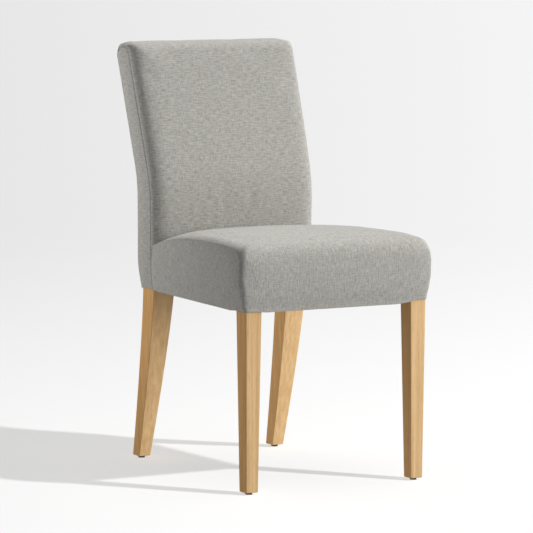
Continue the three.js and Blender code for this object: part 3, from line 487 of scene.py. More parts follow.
# One finish from a fine noise: its two colours, two roughness values and a bump
def fineMaterial(name, scale, first, second, roughness, bump, metallic=0.0):
    material, tree, surface = newMaterial(name, roughness[0])
    place = node(tree, "ShaderNodeTexCoord")["Object"]
    speck = noiseAt(tree, place, (scale, scale, scale), *fineLook["detail"])
    give(surface, {
        "Base Color": colourMix(tree, remap(tree, speck, *fineLook["tone"]), first, second),
        "Roughness": remap(tree, speck, *fineLook["tone"], *roughness),
        "Normal": bumpFrom(tree, speck, fineLook["bump"], bump),
        "Metallic": metallic})
    return material


def buildMaterials():
    weave, grain = weaveGroup(), grainGroup()
    made = {
        "cover": clothMaterial("greyLinen", weave, coverFabric),
        "seatWeb": clothMaterial("juteWebSeat", weave, jute, (0, 1)),
        "backWeb": clothMaterial("juteWebBack", weave, jute, (0, 2)),
        "oak": woodMaterial("oakLacquered", grain, oakFinish),
        "beechAlongX": woodMaterial("beechAlongX", grain, beechFinish, (0, 90, 0)),
        "beechAlongY": woodMaterial("beechAlongY", grain, beechFinish, (90, 0, 0)),
        "foam": fineMaterial("foam", 900, (0.90, 0.86, 0.70), (0.78, 0.73, 0.56),
                             (0.95, 1.0), 0.0012),
        "cambric": fineMaterial("blackCambric", 1400, (0.012, 0.012, 0.013),
                                (0.035, 0.035, 0.036), (0.85, 0.97), 0.0002),
        "zinc": fineMaterial("zincSteel", 260, (0.52, 0.53, 0.55), (0.68, 0.69, 0.70),
                             (0.30, 0.46), 0.00005, metallic=1.0),
        "plastic": fineMaterial("glidePlastic", 700, (0.026, 0.023, 0.020),
                                (0.045, 0.040, 0.035), (0.45, 0.62), 0.00008),
    }
    print("materials:", len(made))
    return made


def finishFrame(materials):
    choices = {
        "beechAlongX": ("front_seat_rail", "rear_seat_rail", "corner_block", "top_rail",
                        "lower_back_rail"),
        "beechAlongY": ("side_seat_rail",),
        "zinc": ("leg_bolt", "block_screw"),
        "seatWeb": ("seat_webbing",),
        "backWeb": ("back_webbing",),
    }
    for finish, starts in choices.items():
        for label, item in nodes.items():
            if label.startswith(starts):
                item.data.materials.clear()
                item.data.materials.append(materials[finish])


# Lines that frame and cover share, in millimetres; depth runs from front (-) to back (+)

lines = {
    "height": 926.0,
    "rake": math.radians(19),
    "frontBend": (560.0, 310.0),  # start height and radius
    "rearBend": (583.0, 245.0),
    "hem": 388.0, "railTop": 462.0, "postTop": 902.0, "frontLegFace": -303.15,
    "frontLegBack": -261.15, "rearPostFront": 149.85, "rearPostBack": 199.85,
    "frontLegOuter": 223.0, "rearLegOuter": 195.8, "postSpread": 4.5,
    "frontSeam": 149.85,  # front seam of the back cushion, below its bend
}
room = {  # cover outside the frame: in full, and at the hem
    "side": (7.5, 2.6),
    "front": (8.0, 2.6),
    "rear": (14.0, 2.6),
    "frontPuff": (9.0, 0.8),
    "rearPuff": (4.0, 0.8),
    "tuckHeight": 70.0,
    "bulge": 7.5,  # fuller sides of the seat towards the front
    "bulgePowers": (1.6, 0.6), "bulgeHeight": 132.0, "bulgeStart": 60.0, "bulgeReach": 280.0,
}


def mix(start, end, share):
    return start + (end - start) * share


def mixAll(starts, ends, share):
    return tuple(mix(start, end, share) for start, end in zip(starts, ends))


# 0 at the start, 1 a length further on
def shareOf(value, start, length):
    return np.clip((np.asarray(value, float) - start) / length, 0, 1)


def easedShare(value, start, length):
    share = shareOf(value, start, length)
    return share * share * (3 - 2 * share)


def leanBack(height, bend):
    start, radius = bend
    rise = np.maximum(0.0, np.asarray(height, float) - start)
    arcRise = radius * math.sin(lines["rake"])
    onArc = radius - np.sqrt(radius ** 2 - np.minimum(rise, arcRise) ** 2)
    return onArc + np.maximum(0.0, rise - arcRise) * math.tan(lines["rake"])


def roomAt(name, height):
    tuck = 1 - np.sin(shareOf(height, lines["hem"], room["tuckHeight"]) * math.pi / 2)
    return mix(*room[name], tuck)


def postOuter(height):
    share = (np.asarray(height, float) - lines["hem"]) / (lines["postTop"] - lines["hem"])
    return lines["rearLegOuter"] + lines["postSpread"] * np.maximum(0.0, share)


def frameOuter(depth):
    start = lines["frontLegBack"]
    share = shareOf(depth, start, lines["rearPostFront"] - start)
    return mix(lines["frontLegOuter"], lines["rearLegOuter"], share)


def seatHalf(depth, height):
    up = shareOf(height, lines["hem"], room["bulgeHeight"])
    ahead = shareOf(depth, room["bulgeStart"], -room["bulgeReach"])
    lift, full = room["bulgePowers"]
    bulge = room["bulge"] * np.sin(math.pi * up ** lift) ** full * ahead
    return frameOuter(depth) + roomAt("side", height) + bulge


def backHalf(depth, height):
    return postOuter(height) + roomAt("side", height)


def frontSeam(height):
    return lines["frontSeam"] + leanBack(height, lines["frontBend"])


def rearSeam(height):
    return (lines["rearPostBack"] + leanBack(height, lines["rearBend"])
            + roomAt("rear", height) - roomAt("rearPuff", height))


# 0 at the side seam, 1 in the middle: a rounding by the seam, mixed with a crown over the width
def fullness(x, half, radius, crown, power):
    inward = np.clip((half - np.abs(x)) / radius, 0, 1)
    edge = (1 - (1 - inward) ** power) ** (1 / power)
    return mix(edge, 1 - (x / half) ** 2, crown)


# Forms of the two cushions: side views, row by row, with the seam and the middle of each row

seatForm = {
    "arcRadius": 24.0, "arcHeight": 492.0, "arcEnd": -278.15, "puff": 14.0, "frontPuff": 9.0,
    "sideRise": 4.5, "high": -195.15, "cornerDrop": 39.0, "backDrop": 23.0, "rearSeam": 149.65,
    "rearFace": 125.65, "rearRound": 10.0,
    "frontEdge": (13.0, 0.22, 2.0),  # radius, crown and power of the side rounding, in front
    "edge": (26.0, 0.22, 2.0),  # the same on top
    "corner": (140.0, 0.6, 2.0),  # and at the rear corners
    "meetsBack": (30.0, 0.1, 2.1),
    "rearPower": 3,  # how late the top falls away towards the rear
    "crevice": 1.2,
    "seamGap": 0.15,  # share of it that is left at the side seams
    "gapRise": 30.0,  # height over which it opens
    "wallRows": 26, "arcRows": 12, "topRows": 104, "turnRows": 8, "rearRows": 30,
    "creviceRows": 12,  # rows of the cover behind the turn
}
backForm = {
    "frontPuff": 23.0, "topPuff": 9.0, "rearPuff": 4.0,
    "edge": (30.0, 0.1, 2.1),
    "highPuff": 30.0,  # fuller front higher up, with a tighter edge
    "highEdge": (27.0, 0.1, 2.5),
    "highFrom": (540.0, 220.0),  # start height and length of the change
    "rearEdge": (6.0, 0.2, 2.0),
    "topFrontRadius": 21.0, "topRearRadius": 21.0, "archTop": 916.0, "coverBase": 440.0,
    "wallRows": 130, "turnRows": 12, "topRows": 6,
}
cut = {
    "edgeSteps": 12,
    "closer": 1.7,  # columns closer together by the seam
    "middleSteps": 48, "gather": 0.75, "fewest": 30, "fine": 400,
}


def seatRear(depth):
    share = (depth - seatForm["high"]) / (seatForm["rearSeam"] - seatForm["high"])
    return np.maximum(0.0, share) ** seatForm["rearPower"]


def seatRise(depth):
    form = seatForm
    forward = np.maximum(0.0, (form["high"] - depth) / (form["high"] - form["arcEnd"]))
    return form["arcHeight"] + form["arcRadius"] + form["sideRise"] * (1 - forward ** 2)


def seatSeamHeight(depth):
    return seatRise(depth) - seatForm["cornerDrop"] * seatRear(depth)


def seatTop(x, depth, drop):
    half = seatHalf(depth, lines["hem"] + 2 * room["tuckHeight"])
    share = seatRear(depth)
    edge = mixAll(seatForm["edge"], seatForm["corner"], share)
    full = fullness(np.minimum(np.abs(x), half), half, *edge)
    crown = seatRise(depth) + seatForm["puff"] - seatForm["backDrop"] * share
    return mix(seatSeamHeight(depth), crown - drop, full)


# The seat's cloth stops short of the back's rounded face
def shortOfBack(x, depth, height):
    half = backHalf(depth, height)
    full = fullness(np.minimum(np.abs(x), half), half, *backForm["edge"])
    full = full * shareOf(height, backForm["coverBase"], seatForm["gapRise"])
    gap = seatForm["crevice"] * np.maximum(full, seatForm["seamGap"])
    return np.minimum(depth, frontSeam(height) - backForm["frontPuff"] * full - gap)


def freely(x, depth, height):
    return depth


def row(seam, middle, edge, depthEdge=None, drop=None):
    return {"seam": seam, "middle": middle, "edge": edge, "depthEdge": depthEdge or edge,
            "drop": drop}


def seatPath(base):
    form = seatForm
    rows = []
    for height in np.linspace(base, form["arcHeight"], form["wallRows"]):
        face = lines["frontLegFace"] - roomAt("front", height)
        rows.append(row((face + roomAt("frontPuff", height), height), (face, height),
                        form["frontEdge"]))
    start, radius = (form["arcEnd"], form["arcHeight"]), form["arcRadius"]
    for angle in np.linspace(0, math.pi / 2, form["arcRows"] + 1)[1:]:
        out, up = math.cos(angle), math.sin(angle)
        middle = (start[0] - (radius + form["frontPuff"]) * out,
                  start[1] + (radius + form["puff"]) * up)
        rows.append(row((start[0] - radius * out, start[1] + radius * up), middle,
                        mixAll(form["frontEdge"], form["edge"], up)))
    turn = form["rearRound"]
    for step in range(1, form["topRows"] + form["turnRows"] + 1):
        flat = min(1.0, step / form["topRows"])
        angle = max(0.0, (step - form["topRows"]) / form["turnRows"]) * math.pi / 2
        depth, middle = (mix(form["arcEnd"], form[end] - turn, flat) + turn * math.sin(angle)
                         for end in ("rearSeam", "rearFace"))
        drop = turn * (1 - math.cos(angle))
        edge, depthEdge = (mixAll(form["edge"], form[end], seatRear(depth))
                           for end in ("corner", "meetsBack"))
        rows.append(row((depth, seatSeamHeight(depth)), (middle, seatTop(0, middle, drop)),
                        edge, depthEdge, drop))
    last = rows[-1]
    for share in np.linspace(0, 1, form["rearRows"] + 1)[1:]:
        seam, middle = ((last[kind][0], mix(last[kind][1], base, share))
                        for kind in ("seam", "middle"))
        edge = mixAll(form["corner"], form["meetsBack"], math.sqrt(share))
        rows.append(row(seam, middle, edge, form["meetsBack"]))
    return rows


def backSide(frontAt, rearAt, top, frontRadius, rearRadius, base):
    form, rake = backForm, lines["rake"]
    frontTurn, rearTurn = math.pi / 2 - rake, math.pi / 2 + rake
    frontTangent = frontRadius * math.tan(frontTurn / 2)
    rearTangent = rearRadius * math.tan(rearTurn / 2)

    def wall(faceAt, start, end):
        return [(float(faceAt(z)), z) for z in np.linspace(start, end, form["wallRows"])]

    def arc(y, radius, start, end):
        return [(y + radius * math.sin(angle), top - radius + radius * math.cos(angle))
                for angle in np.linspace(start, end, form["turnRows"] + 1)[1:]]

    front, rear = float(frontAt(top)) + frontTangent, float(rearAt(top)) - rearTangent
    return (wall(frontAt, base, top - frontTangent * math.cos(rake))
            + arc(front, frontRadius, -frontTurn, 0)
            + [(y, top) for y in np.linspace(front, rear, form["topRows"] + 1)[1:]]
            + arc(rear, rearRadius, 0, rearTurn)
            + wall(rearAt, top - rearTangent * math.cos(rake), base)[1:])


def backPath(base):
    form = backForm
    radii = form["topFrontRadius"], form["topRearRadius"]

    def frontMiddle(z):
        high = easedShare(z, *form["highFrom"])
        return frontSeam(z) - mix(form["frontPuff"], form["highPuff"], high)

    seam = backSide(frontSeam, rearSeam, form["archTop"], *radii, base)
    middle = backSide(frontMiddle, lambda z: rearSeam(z) + roomAt("rearPuff", z), lines["height"],
                      radii[0] + form["topPuff"], radii[1] + form["rearPuff"], base)
    start = form["wallRows"] + form["turnRows"] + form["topRows"]
    rows = []
    for index, (seamPoint, middlePoint) in enumerate(zip(seam, middle)):
        high = easedShare(seamPoint[1], *form["highFrom"])
        edge = mixAll(form["edge"], form["highEdge"], high)
        edge = mixAll(edge, form["rearEdge"], shareOf(index, start, form["turnRows"]))
        rows.append(row(seamPoint, middlePoint, edge))
    return rows


def acrossPlaces(half, radius):
    angles = np.linspace(0, 1, cut["edgeSteps"] + 1) ** cut["closer"] * math.pi / 2
    edge = half - radius * (1 - np.cos(angles))
    inner = np.linspace(-1, 1, cut["middleSteps"] + 2)[1:-1] * (half - radius)
    return np.concatenate([-edge, inner, edge[::-1]])


def wrapGrid(path, halfAt, limit):
    grid = []
    for line in path:
        seam, middle = line["seam"], line["middle"]
        half = float(halfAt(*seam))
        x = acrossPlaces(half, line["edge"][0])
        y = mix(seam[0], middle[0], fullness(x, half, *line["depthEdge"]))
        if line["drop"] is None:
            z = mix(seam[1], middle[1], fullness(x, half, *line["edge"]))
        else:
            z = seatTop(x, y, line["drop"])
        grid.append(np.stack([x, limit(x, y, z), z], axis=1))
    return np.array(grid)


def lengthsAlong(points):
    steps = np.linalg.norm(np.diff(points, axis=0), axis=1)
    return np.concatenate([[0], np.cumsum(steps)])


def sampled(values, along, places):
    return np.stack([np.interp(places, along, column) for column in values.T], axis=1)


def resampled(points, count):
    along = lengthsAlong(points)
    return sampled(points, along, np.linspace(0, along[-1], count))


# A side panel, stretched between the seam's front, top and rear and a straight lower edge
def panelGrid(path, frontCorner, rearCorner, halfAt, limit, side):
    seam = np.array([line["seam"] for line in path])
    front, top = seam[:frontCorner + 1], seam[frontCorner:rearCorner + 1]
    rear = resampled(seam[rearCorner:][::-1], len(front))
    shares = np.linspace(0, 1, max(len(top), cut["fewest"]))
    shares = shares - cut["gather"] * np.sin(2 * math.pi * shares) / (2 * math.pi)
    fine = cut["fine"]
    top = resampled(top, fine)[np.round(shares * (fine - 1)).astype(int)]
    bottom = mix(seam[0], seam[-1], shares[:, None])
    up = np.linspace(0, 1, len(front))[:, None, None]
    back = shares[None, :, None]
    corners = mix(mix(bottom[0], bottom[-1], back), mix(top[0], top[-1], back), up)
    flat = mix(bottom[None], top[None], up) + mix(front[:, None], rear[:, None], back) - corners
    y, z = flat[..., 0], flat[..., 1]
    half = halfAt(y, z)
    return np.stack([side * half, limit(half, y, z), z], axis=2)


# Cloth: seams, puckers, soft hollows and hems

sewing = {
    "grooveWidth": 1.7, "backGroove": 2.0, "rearGroove": 0.8, "topGroove": 1.2,
    "cornerGroove": 1.7,  # upright front corners of the seat
    "cornerInward": (0.9, 0.4, 0),
    "cornerSoft": (0.96, 0.72, 0),
    "cornerRows": 8,  # rows in which it fades out
    "stitch": (8.5, 0.35),  # length, and share of the groove's depth
    "stitchUneven": (0.6, 0.4, 29.0),
    "seamShift": 731.0,  # so that no two seams pucker alike
    "grooveSharpness": 1.4,
    "plainDepth": 0.4,  # seams shallower than this pucker less
    "seamStep": 0.6,
    "softWidth": 7.0,  # soft rounding of an edge by its seam
    "pucker": 0.6, "puckerReach": 6.0, "wave": 0.6, "waveFade": 28.0,
    "puckers": (9.0, 13.0, 19.0, 31.0),  # lengths of the waves along the seams
    "puckerDrift": (1.3, 47.0), "puckerStrength": (0.55, 0.45, 83.0, 37.0, 1.0),
    "puckerScale": 2.2,
    "hollows": (70.0, 95.0, 120.0, 160.0, 210.0),
    "hollowScale": 2.5,
    "simulatedShare": 0.5,  # of the plain hollows that stay where the cloth is simulated
    "allowance": 5.0,  # cloth turned in past the seam
    "foldAngle": math.radians(60),
    "outwardPull": 50.0,  # millimetres by which a form's own side counts for its normals
    "thickness": 1.0,
}
frontCorner = {  # rounding of the seat's top front corners
    "place": (232, -296, 506),
    "away": (0.3, -0.45, 0.84),
    "depth": 3.5, "reach": 24.0,
}
seamLines = []
skins = []  # height of its middle, points and normals of every panel


def addSeam(points, inward, depths, soft=0.0):
    along = lengthsAlong(points)
    places = np.arange(0, along[-1], sewing["seamStep"])
    deep = np.interp(places, along, np.broadcast_to(depths, len(points)))
    length, share = sewing["stitch"]
    least, more, far = sewing["stitchUneven"]
    uneven = least + more * np.sin(places / far)
    deep = deep * (1 + share * np.sin(2 * math.pi * places / length) * uneven)
    softPull = sampled(np.broadcast_to(soft, points.shape), along, places)
    seamLines.append((sampled(points, along, places), np.asarray(inward, float) * deep[:, None],
                      softPull, places + sewing["seamShift"] * len(seamLines)))


def unevenness(places):
    rng = np.random.default_rng(11)
    total = np.zeros_like(places)
    sway, far = sewing["puckerDrift"]
    for length in sewing["puckers"]:
        shift, drift = rng.uniform(0, 2 * math.pi, 2)
        swayed = sway * np.sin(places / far + drift)
        total += np.sin(2 * math.pi * places / length + shift + swayed)
    least, more, slow, fast, late = sewing["puckerStrength"]
    strength = least + more * np.sin(places / slow) * np.sin(places / fast + late)
    return total / sewing["puckerScale"] * strength


def hollows(points):
    rng = np.random.default_rng(5)
    total = np.zeros(points.shape[:-1])
    for length in sewing["hollows"]:
        direction = rng.normal(size=3)
        direction /= np.linalg.norm(direction)
        total += np.sin(2 * math.pi * (points @ direction) / length + rng.uniform(0, 2 * math.pi))
    return total / sewing["hollowScale"]


def gridNormals(grid, outward):
    down, right = np.gradient(grid, axis=0), np.gradient(grid, axis=1)
    normals = np.cross(right, down)
    normals /= np.maximum(np.linalg.norm(normals, axis=2, keepdims=True), 1e-9)
    middle = grid.reshape(-1, 3).mean(0)
    if ((grid - middle + np.asarray(outward, float) * sewing["outwardPull"]) * normals).sum() < 0:
        normals = -normals
    return normals


# For each place, which of the points is nearest, and how far it is
def nearestOf(points, places):
    tree = KDTree(len(points))
    for index, point in enumerate(points):
        tree.insert(point, index)
    tree.balance()
    found = [tree.find(place)[1:] for place in places]
    return np.array([item[0] for item in found]), np.array([item[1] for item in found])


def sewn(grid, outward):
    points, pulls, softPulls, places = (np.concatenate(part) for part in zip(*seamLines))
    flat = grid.reshape(-1, 3)
    nearest, away = nearestOf(points, flat)
    normals = gridNormals(grid, outward).reshape(-1, 3)
    groove = np.exp(-(away / sewing["grooveWidth"]) ** sewing["grooveSharpness"])
    softness = np.exp(-(away / sewing["softWidth"]) ** 2)
    plain = np.minimum(1, np.linalg.norm(pulls[nearest], axis=1) / sewing["plainDepth"])
    reach = away / sewing["puckerReach"]
    pucker = sewing["pucker"] * unevenness(places[nearest]) * reach * np.exp(1 - reach)
    wave = sewing["wave"] * hollows(flat) * (1 - np.exp(-away / sewing["waveFade"]))
    wave = wave * sewing["simulatedShare"] + simulated(grid, outward).ravel()
    moved = flat + pulls[nearest] * groove[:, None] + softPulls[nearest] * softness[:, None]
    moved = moved + normals * (pucker * plain + wave)[:, None]
    mirror = np.where(flat[:, :1] < 0, -1, 1) * (1, 0, 0) + (0, 1, 1)
    apart = np.linalg.norm(flat * mirror - frontCorner["place"], axis=1) / frontCorner["reach"]
    depth = frontCorner["depth"] * np.exp(-apart ** 2)
    moved = moved - mirror * frontCorner["away"] * depth[:, None]
    skins.append((grid.mean(axis=(0, 1))[2], moved, normals))
    return moved.reshape(grid.shape)


# Grids of points, whose faces look outwards

def gridMesh(name, grid, outward, material=None):
    rows, columns = grid.shape[:2]
    index = np.arange(rows * columns).reshape(rows, columns)
    faces = np.stack([index[:-1, :-1], index[:-1, 1:], index[1:, 1:], index[1:, :-1]], -1)
    faces = faces.reshape(-1, 4)
    middle = grid[rows // 2, columns // 2]
    right = grid[rows // 2, columns // 2 + 1] - middle
    down = grid[rows // 2 + 1, columns // 2] - middle
    if np.dot(np.cross(right, down), outward) < 0:
        faces = faces[:, ::-1]
    return newMesh(name, grid.reshape(-1, 3), faces.tolist(), material), faces, index


simulation = {
    "step": 6.0,  # distance between points, in millimetres
    "fewest": 4, "frames": 20,
    "settings": {
        "vertex_group_mass": "pins", "quality": 6, "mass": 0.25,
        "tension_stiffness": 22.0, "compression_stiffness": 22.0, "shear_stiffness": 22.0 / 3,
        "bending_stiffness": 0.9, "use_pressure": True, "uniform_pressure_force": 3.0,
        "shrink_min": -0.006,  # cloth longer than the form it covers
    },
    "lowest": -0.9,  # how far a point may sink or rise, in millimetres
    "highest": 2.0,
    "balloon": 0.75,  # share of the even swelling that is taken off again
    "balloonRounds": 60, "smoothRounds": 6,
}


def fractions(grid, axis):
    lengths = np.linalg.norm(np.diff(grid, axis=axis), axis=2).max(axis=1 - axis)
    along = np.concatenate([[0], np.cumsum(lengths)])
    count = max(simulation["fewest"], int(round(along[-1] / simulation["step"])) + 1)
    places = np.linspace(0, along[-1], count)
    return (np.interp(places, along, np.arange(len(along))),
            np.interp(along, places, np.arange(count)))


def between(values, rows, columns):
    low = np.clip(np.floor(rows).astype(int), 0, values.shape[0] - 2)
    left = np.clip(np.floor(columns).astype(int), 0, values.shape[1] - 2)
    up, right = (rows - low)[:, None], (columns - left)[None, :]
    if values.ndim == 3:
        up, right = up[..., None], right[..., None]
    at = lambda down, over: values[(low + down)[:, None], (left + over)[None, :]]
    return mix(mix(at(0, 0), at(0, 1), right), mix(at(1, 0), at(1, 1), right), up)


def blurred(values, rounds):
    for _ in range(rounds):
        padded = np.pad(values, 1, mode="edge")
        values = (padded[:-2, 1:-1] + padded[2:, 1:-1] + padded[1:-1, :-2] + padded[1:-1, 2:]
                  + 2 * values) / 6
    return values


# Cloth pinned at its seams, a little too long, and pushed out by the foam
def simulated(grid, outward):
    form = simulation
    rows, rowsBack = fractions(grid, 0)
    columns, columnsBack = fractions(grid, 1)
    coarse = between(grid, rows, columns)
    mesh, _, index = gridMesh("clothTrial", coarse, outward)
    item = addObject("clothTrial", mesh)
    border = np.concatenate([index[0], index[-1], index[:, 0], index[:, -1]]).tolist()
    item.vertex_groups.new(name="pins").add(border, 1.0, "REPLACE")
    cloth = addModifier(item, "cloth", "CLOTH")
    for label, value in form["settings"].items():
        setattr(cloth.settings, label, value)
    cloth.settings.effector_weights.gravity = 0
    cloth.collision_settings.use_collision = False
    scene = bpy.context.scene
    for frameNumber in range(1, form["frames"] + 1):
        scene.frame_set(frameNumber)
    shaped = item.evaluated_get(bpy.context.evaluated_depsgraph_get())
    points = np.empty(len(mesh.vertices) * 3, np.float32)
    shaped.data.vertices.foreach_get("co", points)
    moved = points.reshape(coarse.shape) / mm - coarse
    rise = (moved * gridNormals(coarse, outward)).sum(axis=2)
    bpy.data.objects.remove(item)
    bpy.data.meshes.remove(mesh)
    scene.frame_set(1)
    rise = rise - form["balloon"] * blurred(rise, form["balloonRounds"])
    rise = blurred(np.clip(rise, form["lowest"], form["highest"]), form["smoothRounds"])
    rise[0] = rise[-1] = rise[:, 0] = rise[:, -1] = 0
    low, high = rise.min(), rise.max()
    print(f"  cloth: {index.shape} points, rise {low:.2f} to {high:.2f} mm")
    return between(rise, rowsBack, columnsBack)


hemForm = {
    "turn": 1.0,
    "bend": ((0.3, 0.7), (1.0, 1.0)), # shares of the turn, inwards and downwards
    "reach": 14.0,  # cloth under the rails
    "least": 0.3,  # and under the legs
    "frontLeg": 42.0,  # width and depth that are kept clear for the legs
    "rearLeg": 54.0, "sideLeg": 3.0,
    "lift": 5.0,  # hem higher at the right front corner
    "liftAcross": (140, 84),  # each pair is the start and the length of a change
    "liftAhead": (-225, -75),
    "droop": 2.2,  # hem lower between the legs
    "frontAcross": (196, -22),
    "frontAhead": (-285, -12),
    "sideAcross": (190, 8),
    "sideFront": (-262, 26),
    "sideRear": (152, -26),
    "height": 90.0,  # of the cloth that follows
}


def liftedHem(grid):
    form = hemForm
    right, depth, height = np.moveaxis(grid, -1, 0)
    across = np.abs(right)
    lift = (form["lift"] * easedShare(right, *form["liftAcross"])
            * easedShare(depth, *form["liftAhead"]))
    front = easedShare(across, *form["frontAcross"]) * easedShare(depth, *form["frontAhead"])
    side = (easedShare(across, *form["sideAcross"]) * easedShare(depth, *form["sideFront"])
            * easedShare(depth, *form["sideRear"]))
    near = shareOf(height, lines["hem"] + form["height"], -form["height"]) ** 2
    lifted = grid.copy()
    lifted[..., 2] += (lift - form["droop"] * np.maximum(front, side)) * near
    return lifted


def clothPlaces(grid):
    middle = grid.shape[1] // 2
    v = lengthsAlong(grid[:, middle])
    steps = np.linalg.norm(np.diff(grid, axis=1), axis=2)
    u = np.concatenate([np.zeros((len(grid), 1)), np.cumsum(steps, axis=1)], axis=1)
    u -= u[:, middle:middle + 1]
    return np.stack([u, np.broadcast_to(v[:, None], u.shape)], axis=2) * mm


# Adds a line of points beyond one edge of a sheet: 0 first row, 1 last row, 2 first column, 3 last
def extended(grid, cloth, edge, offsets, spare):
    parts = [grid, cloth]
    if edge >= 2:
        parts = [part.swapaxes(0, 1) for part in parts]
    at = -(edge % 2)
    line, places = parts[0][at] + offsets, parts[1][at].copy()
    places[:, 0 if edge >= 2 else 1] += (spare if at else -spare) * mm
    pairs = zip(parts, (line[None], places[None]))
    parts = [np.concatenate([part, extra] if at else [extra, part]) for part, extra in pairs]
    if edge >= 2:
        parts = [part.swapaxes(0, 1) for part in parts]
    return parts


# Cloth that turns in under the rails, and next to none of it under the legs
def withHem(grid, cloth, edge, inward, place):
    form = hemForm
    across, depth = np.abs(grid[-edge, :, 0]), grid[-edge, :, 1]
    if place == "side":
        clear = ((depth > lines["frontLegBack"] + form["sideLeg"])
                 & (depth < lines["rearPostFront"] - form["sideLeg"]))
    else:
        clear = across < lines[place + "LegOuter"] - form[place + "Leg"]
    reach = np.where(clear, form["reach"], form["least"])
    turn, half = form["turn"], float(reach.mean()) / 2
    steps = [(turn * share, turn * down, turn) for share, down in form["bend"]]
    steps += [(turn + share * reach, turn, half) for share in (0.5, 1.0)]
    done = 0.0
    for far, down, spare in steps:
        goal = np.array(inward) * np.reshape(far, (-1, 1)) - np.array((0, 0, down))
        grid, cloth = extended(grid, cloth, edge, goal - done, spare)
        done = goal
    return grid, cloth


# Cloth turned in at a seam keeps a sharp edge, so that two panels meet without a gap
def sharpenFolds(mesh):
    work = bmesh.new()
    work.from_mesh(mesh)
    crease = work.edges.layers.float.new("crease_edge")
    for edge in work.edges:
        if edge.calc_face_angle(0) > sewing["foldAngle"]:
            edge[crease] = 1.0
            edge.smooth = False
    work.to_mesh(mesh)
    work.free()


def sheetObject(name, grid, cloth, outward, material, thickness, subdivided):
    mesh, faces, _ = gridMesh(name, grid, outward, material)
    places = mesh.uv_layers.new(name="clothMap")
    places.data.foreach_set("uv", cloth.reshape(-1, 2)[faces.ravel()].ravel())
    mesh.shade_smooth()
    item = addObject(name, mesh)
    if subdivided:
        sharpenFolds(mesh)
        addModifier(item, "soften", "SUBSURF", levels=1, render_levels=1,
                    boundary_smooth="PRESERVE_CORNERS")
    addModifier(item, "cloth", "SOLIDIFY", thickness=thickness * mm, offset=-1)
    return item


# Cover

def buildCover(material):
    hem = lines["hem"] + hemForm["turn"]
    seat, back = seatPath(hem), backPath(hem)
    seatCorner = seatForm["wallRows"] - 1 + seatForm["arcRows"] // 2
    seatRearRow = (seatForm["wallRows"] - 1 + seatForm["arcRows"] + seatForm["topRows"]
                   + seatForm["turnRows"])
    backCorner = backForm["wallRows"] - 1 + backForm["turnRows"] // 2
    backTopSeam = backCorner + backForm["turnRows"] + backForm["topRows"]
    seatWrap = wrapGrid(seat, seatHalf, shortOfBack)
    backWrap = wrapGrid(back, backHalf, freely)
    rows, fading = np.arange(len(seat)), sewing["cornerRows"]
    seatDepths = sewing["cornerGroove"] * shareOf(rows, seatCorner + fading, -fading)
    backDepths = np.where(np.arange(len(back)) < backTopSeam, sewing["backGroove"],
                          sewing["rearGroove"])
    upright = shareOf(rows, seatForm["wallRows"] + seatForm["arcRows"], -seatForm["arcRows"])
    for side, column in ((-1, 0), (1, -1)):
        inward = (-side, 1, 1)
        addSeam(seatWrap[:, column], np.array(sewing["cornerInward"]) * inward, seatDepths,
                np.array(sewing["cornerSoft"]) * inward * upright[:, None])
        addSeam(backWrap[:, column], (-side, 0, 0), backDepths)
    inTop = (0, -math.cos(lines["rake"]), -math.sin(lines["rake"]))
    addSeam(backWrap[backTopSeam], inTop, sewing["topGroove"])

    # Name, CAD name, grid, the ways it looks as a whole and in its middle, the ways its edges
    # turn in, its hem, and what it rests on
    coverStart = next(k for k, line in enumerate(back) if line["seam"][1] >= backForm["coverBase"])
    atSides = {2: (1, 0, 0), 3: (-1, 0, 0)}
    panels = [
        ("seatCover", "seat_cover", seatWrap[:seatRearRow + 1 + seatForm["creviceRows"]],
         (0, -0.5, 1), (0, 0, 1), atSides, (0, (0, 1, 0), "front"),
         ["seatFoam", "front_seat_rail"]),
        ("insideBackCover", "inside_back_cover", backWrap[coverStart:backTopSeam + 1],
         (0, -1, 0.3), (0, -1, 0), {**atSides, 1: inTop}, None, ["backFoam"]),
        ("outsideBackCover", "outside_back_cover", backWrap[backTopSeam:],
         (0, 1, -0.2), (0, 1, 0), {**atSides, 0: inTop}, (1, (0, -1, 0), "rear"), ["backFoam"]),
    ]
    for side, label in bothSides:
        outward, inward = (side, 0, 0), (-side, 0, 0)
        for part, path, corner, rear, halfAt, limit in (
                ("seat", seat, seatCorner, seatRearRow, seatHalf, shortOfBack),
                ("back", back, backCorner, backTopSeam, backHalf, freely)):
            panels.append((f"{part}SidePanel{label}", f"{part}_side_panel_{label.lower()}",
                           panelGrid(path, corner, rear, halfAt, limit, side), outward, outward,
                           {edge: inward for edge in (2, 3, 1)}, (0, inward, "side"),
                           [part + "Foam"]))

    allowance = sewing["allowance"]
    for name, cadName, grid, outward, facing, folds, turned, under in panels:
        ofSeat = name.startswith("seat")
        cloth = clothPlaces(grid)
        grid = sewn(grid, outward)
        if ofSeat:
            grid = liftedHem(grid)
        for edge, way in folds.items():
            grid, cloth = extended(grid, cloth, edge, np.array(way) * allowance, allowance)
        if turned:
            grid, cloth = withHem(grid, cloth, *turned)
        if ofSeat:
            cloth = cloth[..., ::-1]
        item = sheetObject(name, grid, cloth, facing, material, sewing["thickness"], True)
        declare(item, cadName)
        width, length = np.ptp(cloth.reshape(-1, 2), axis=0)
        area = sum(face.area for face in item.data.polygons)
        length = max(length, area / width)
        print(f"cover: {name}, {len(item.data.vertices)} points, "
              f"flat {width:.3f} x {length:.3f} m, {area:.4f} m2")


# Foam, shown only where the cover is taken off

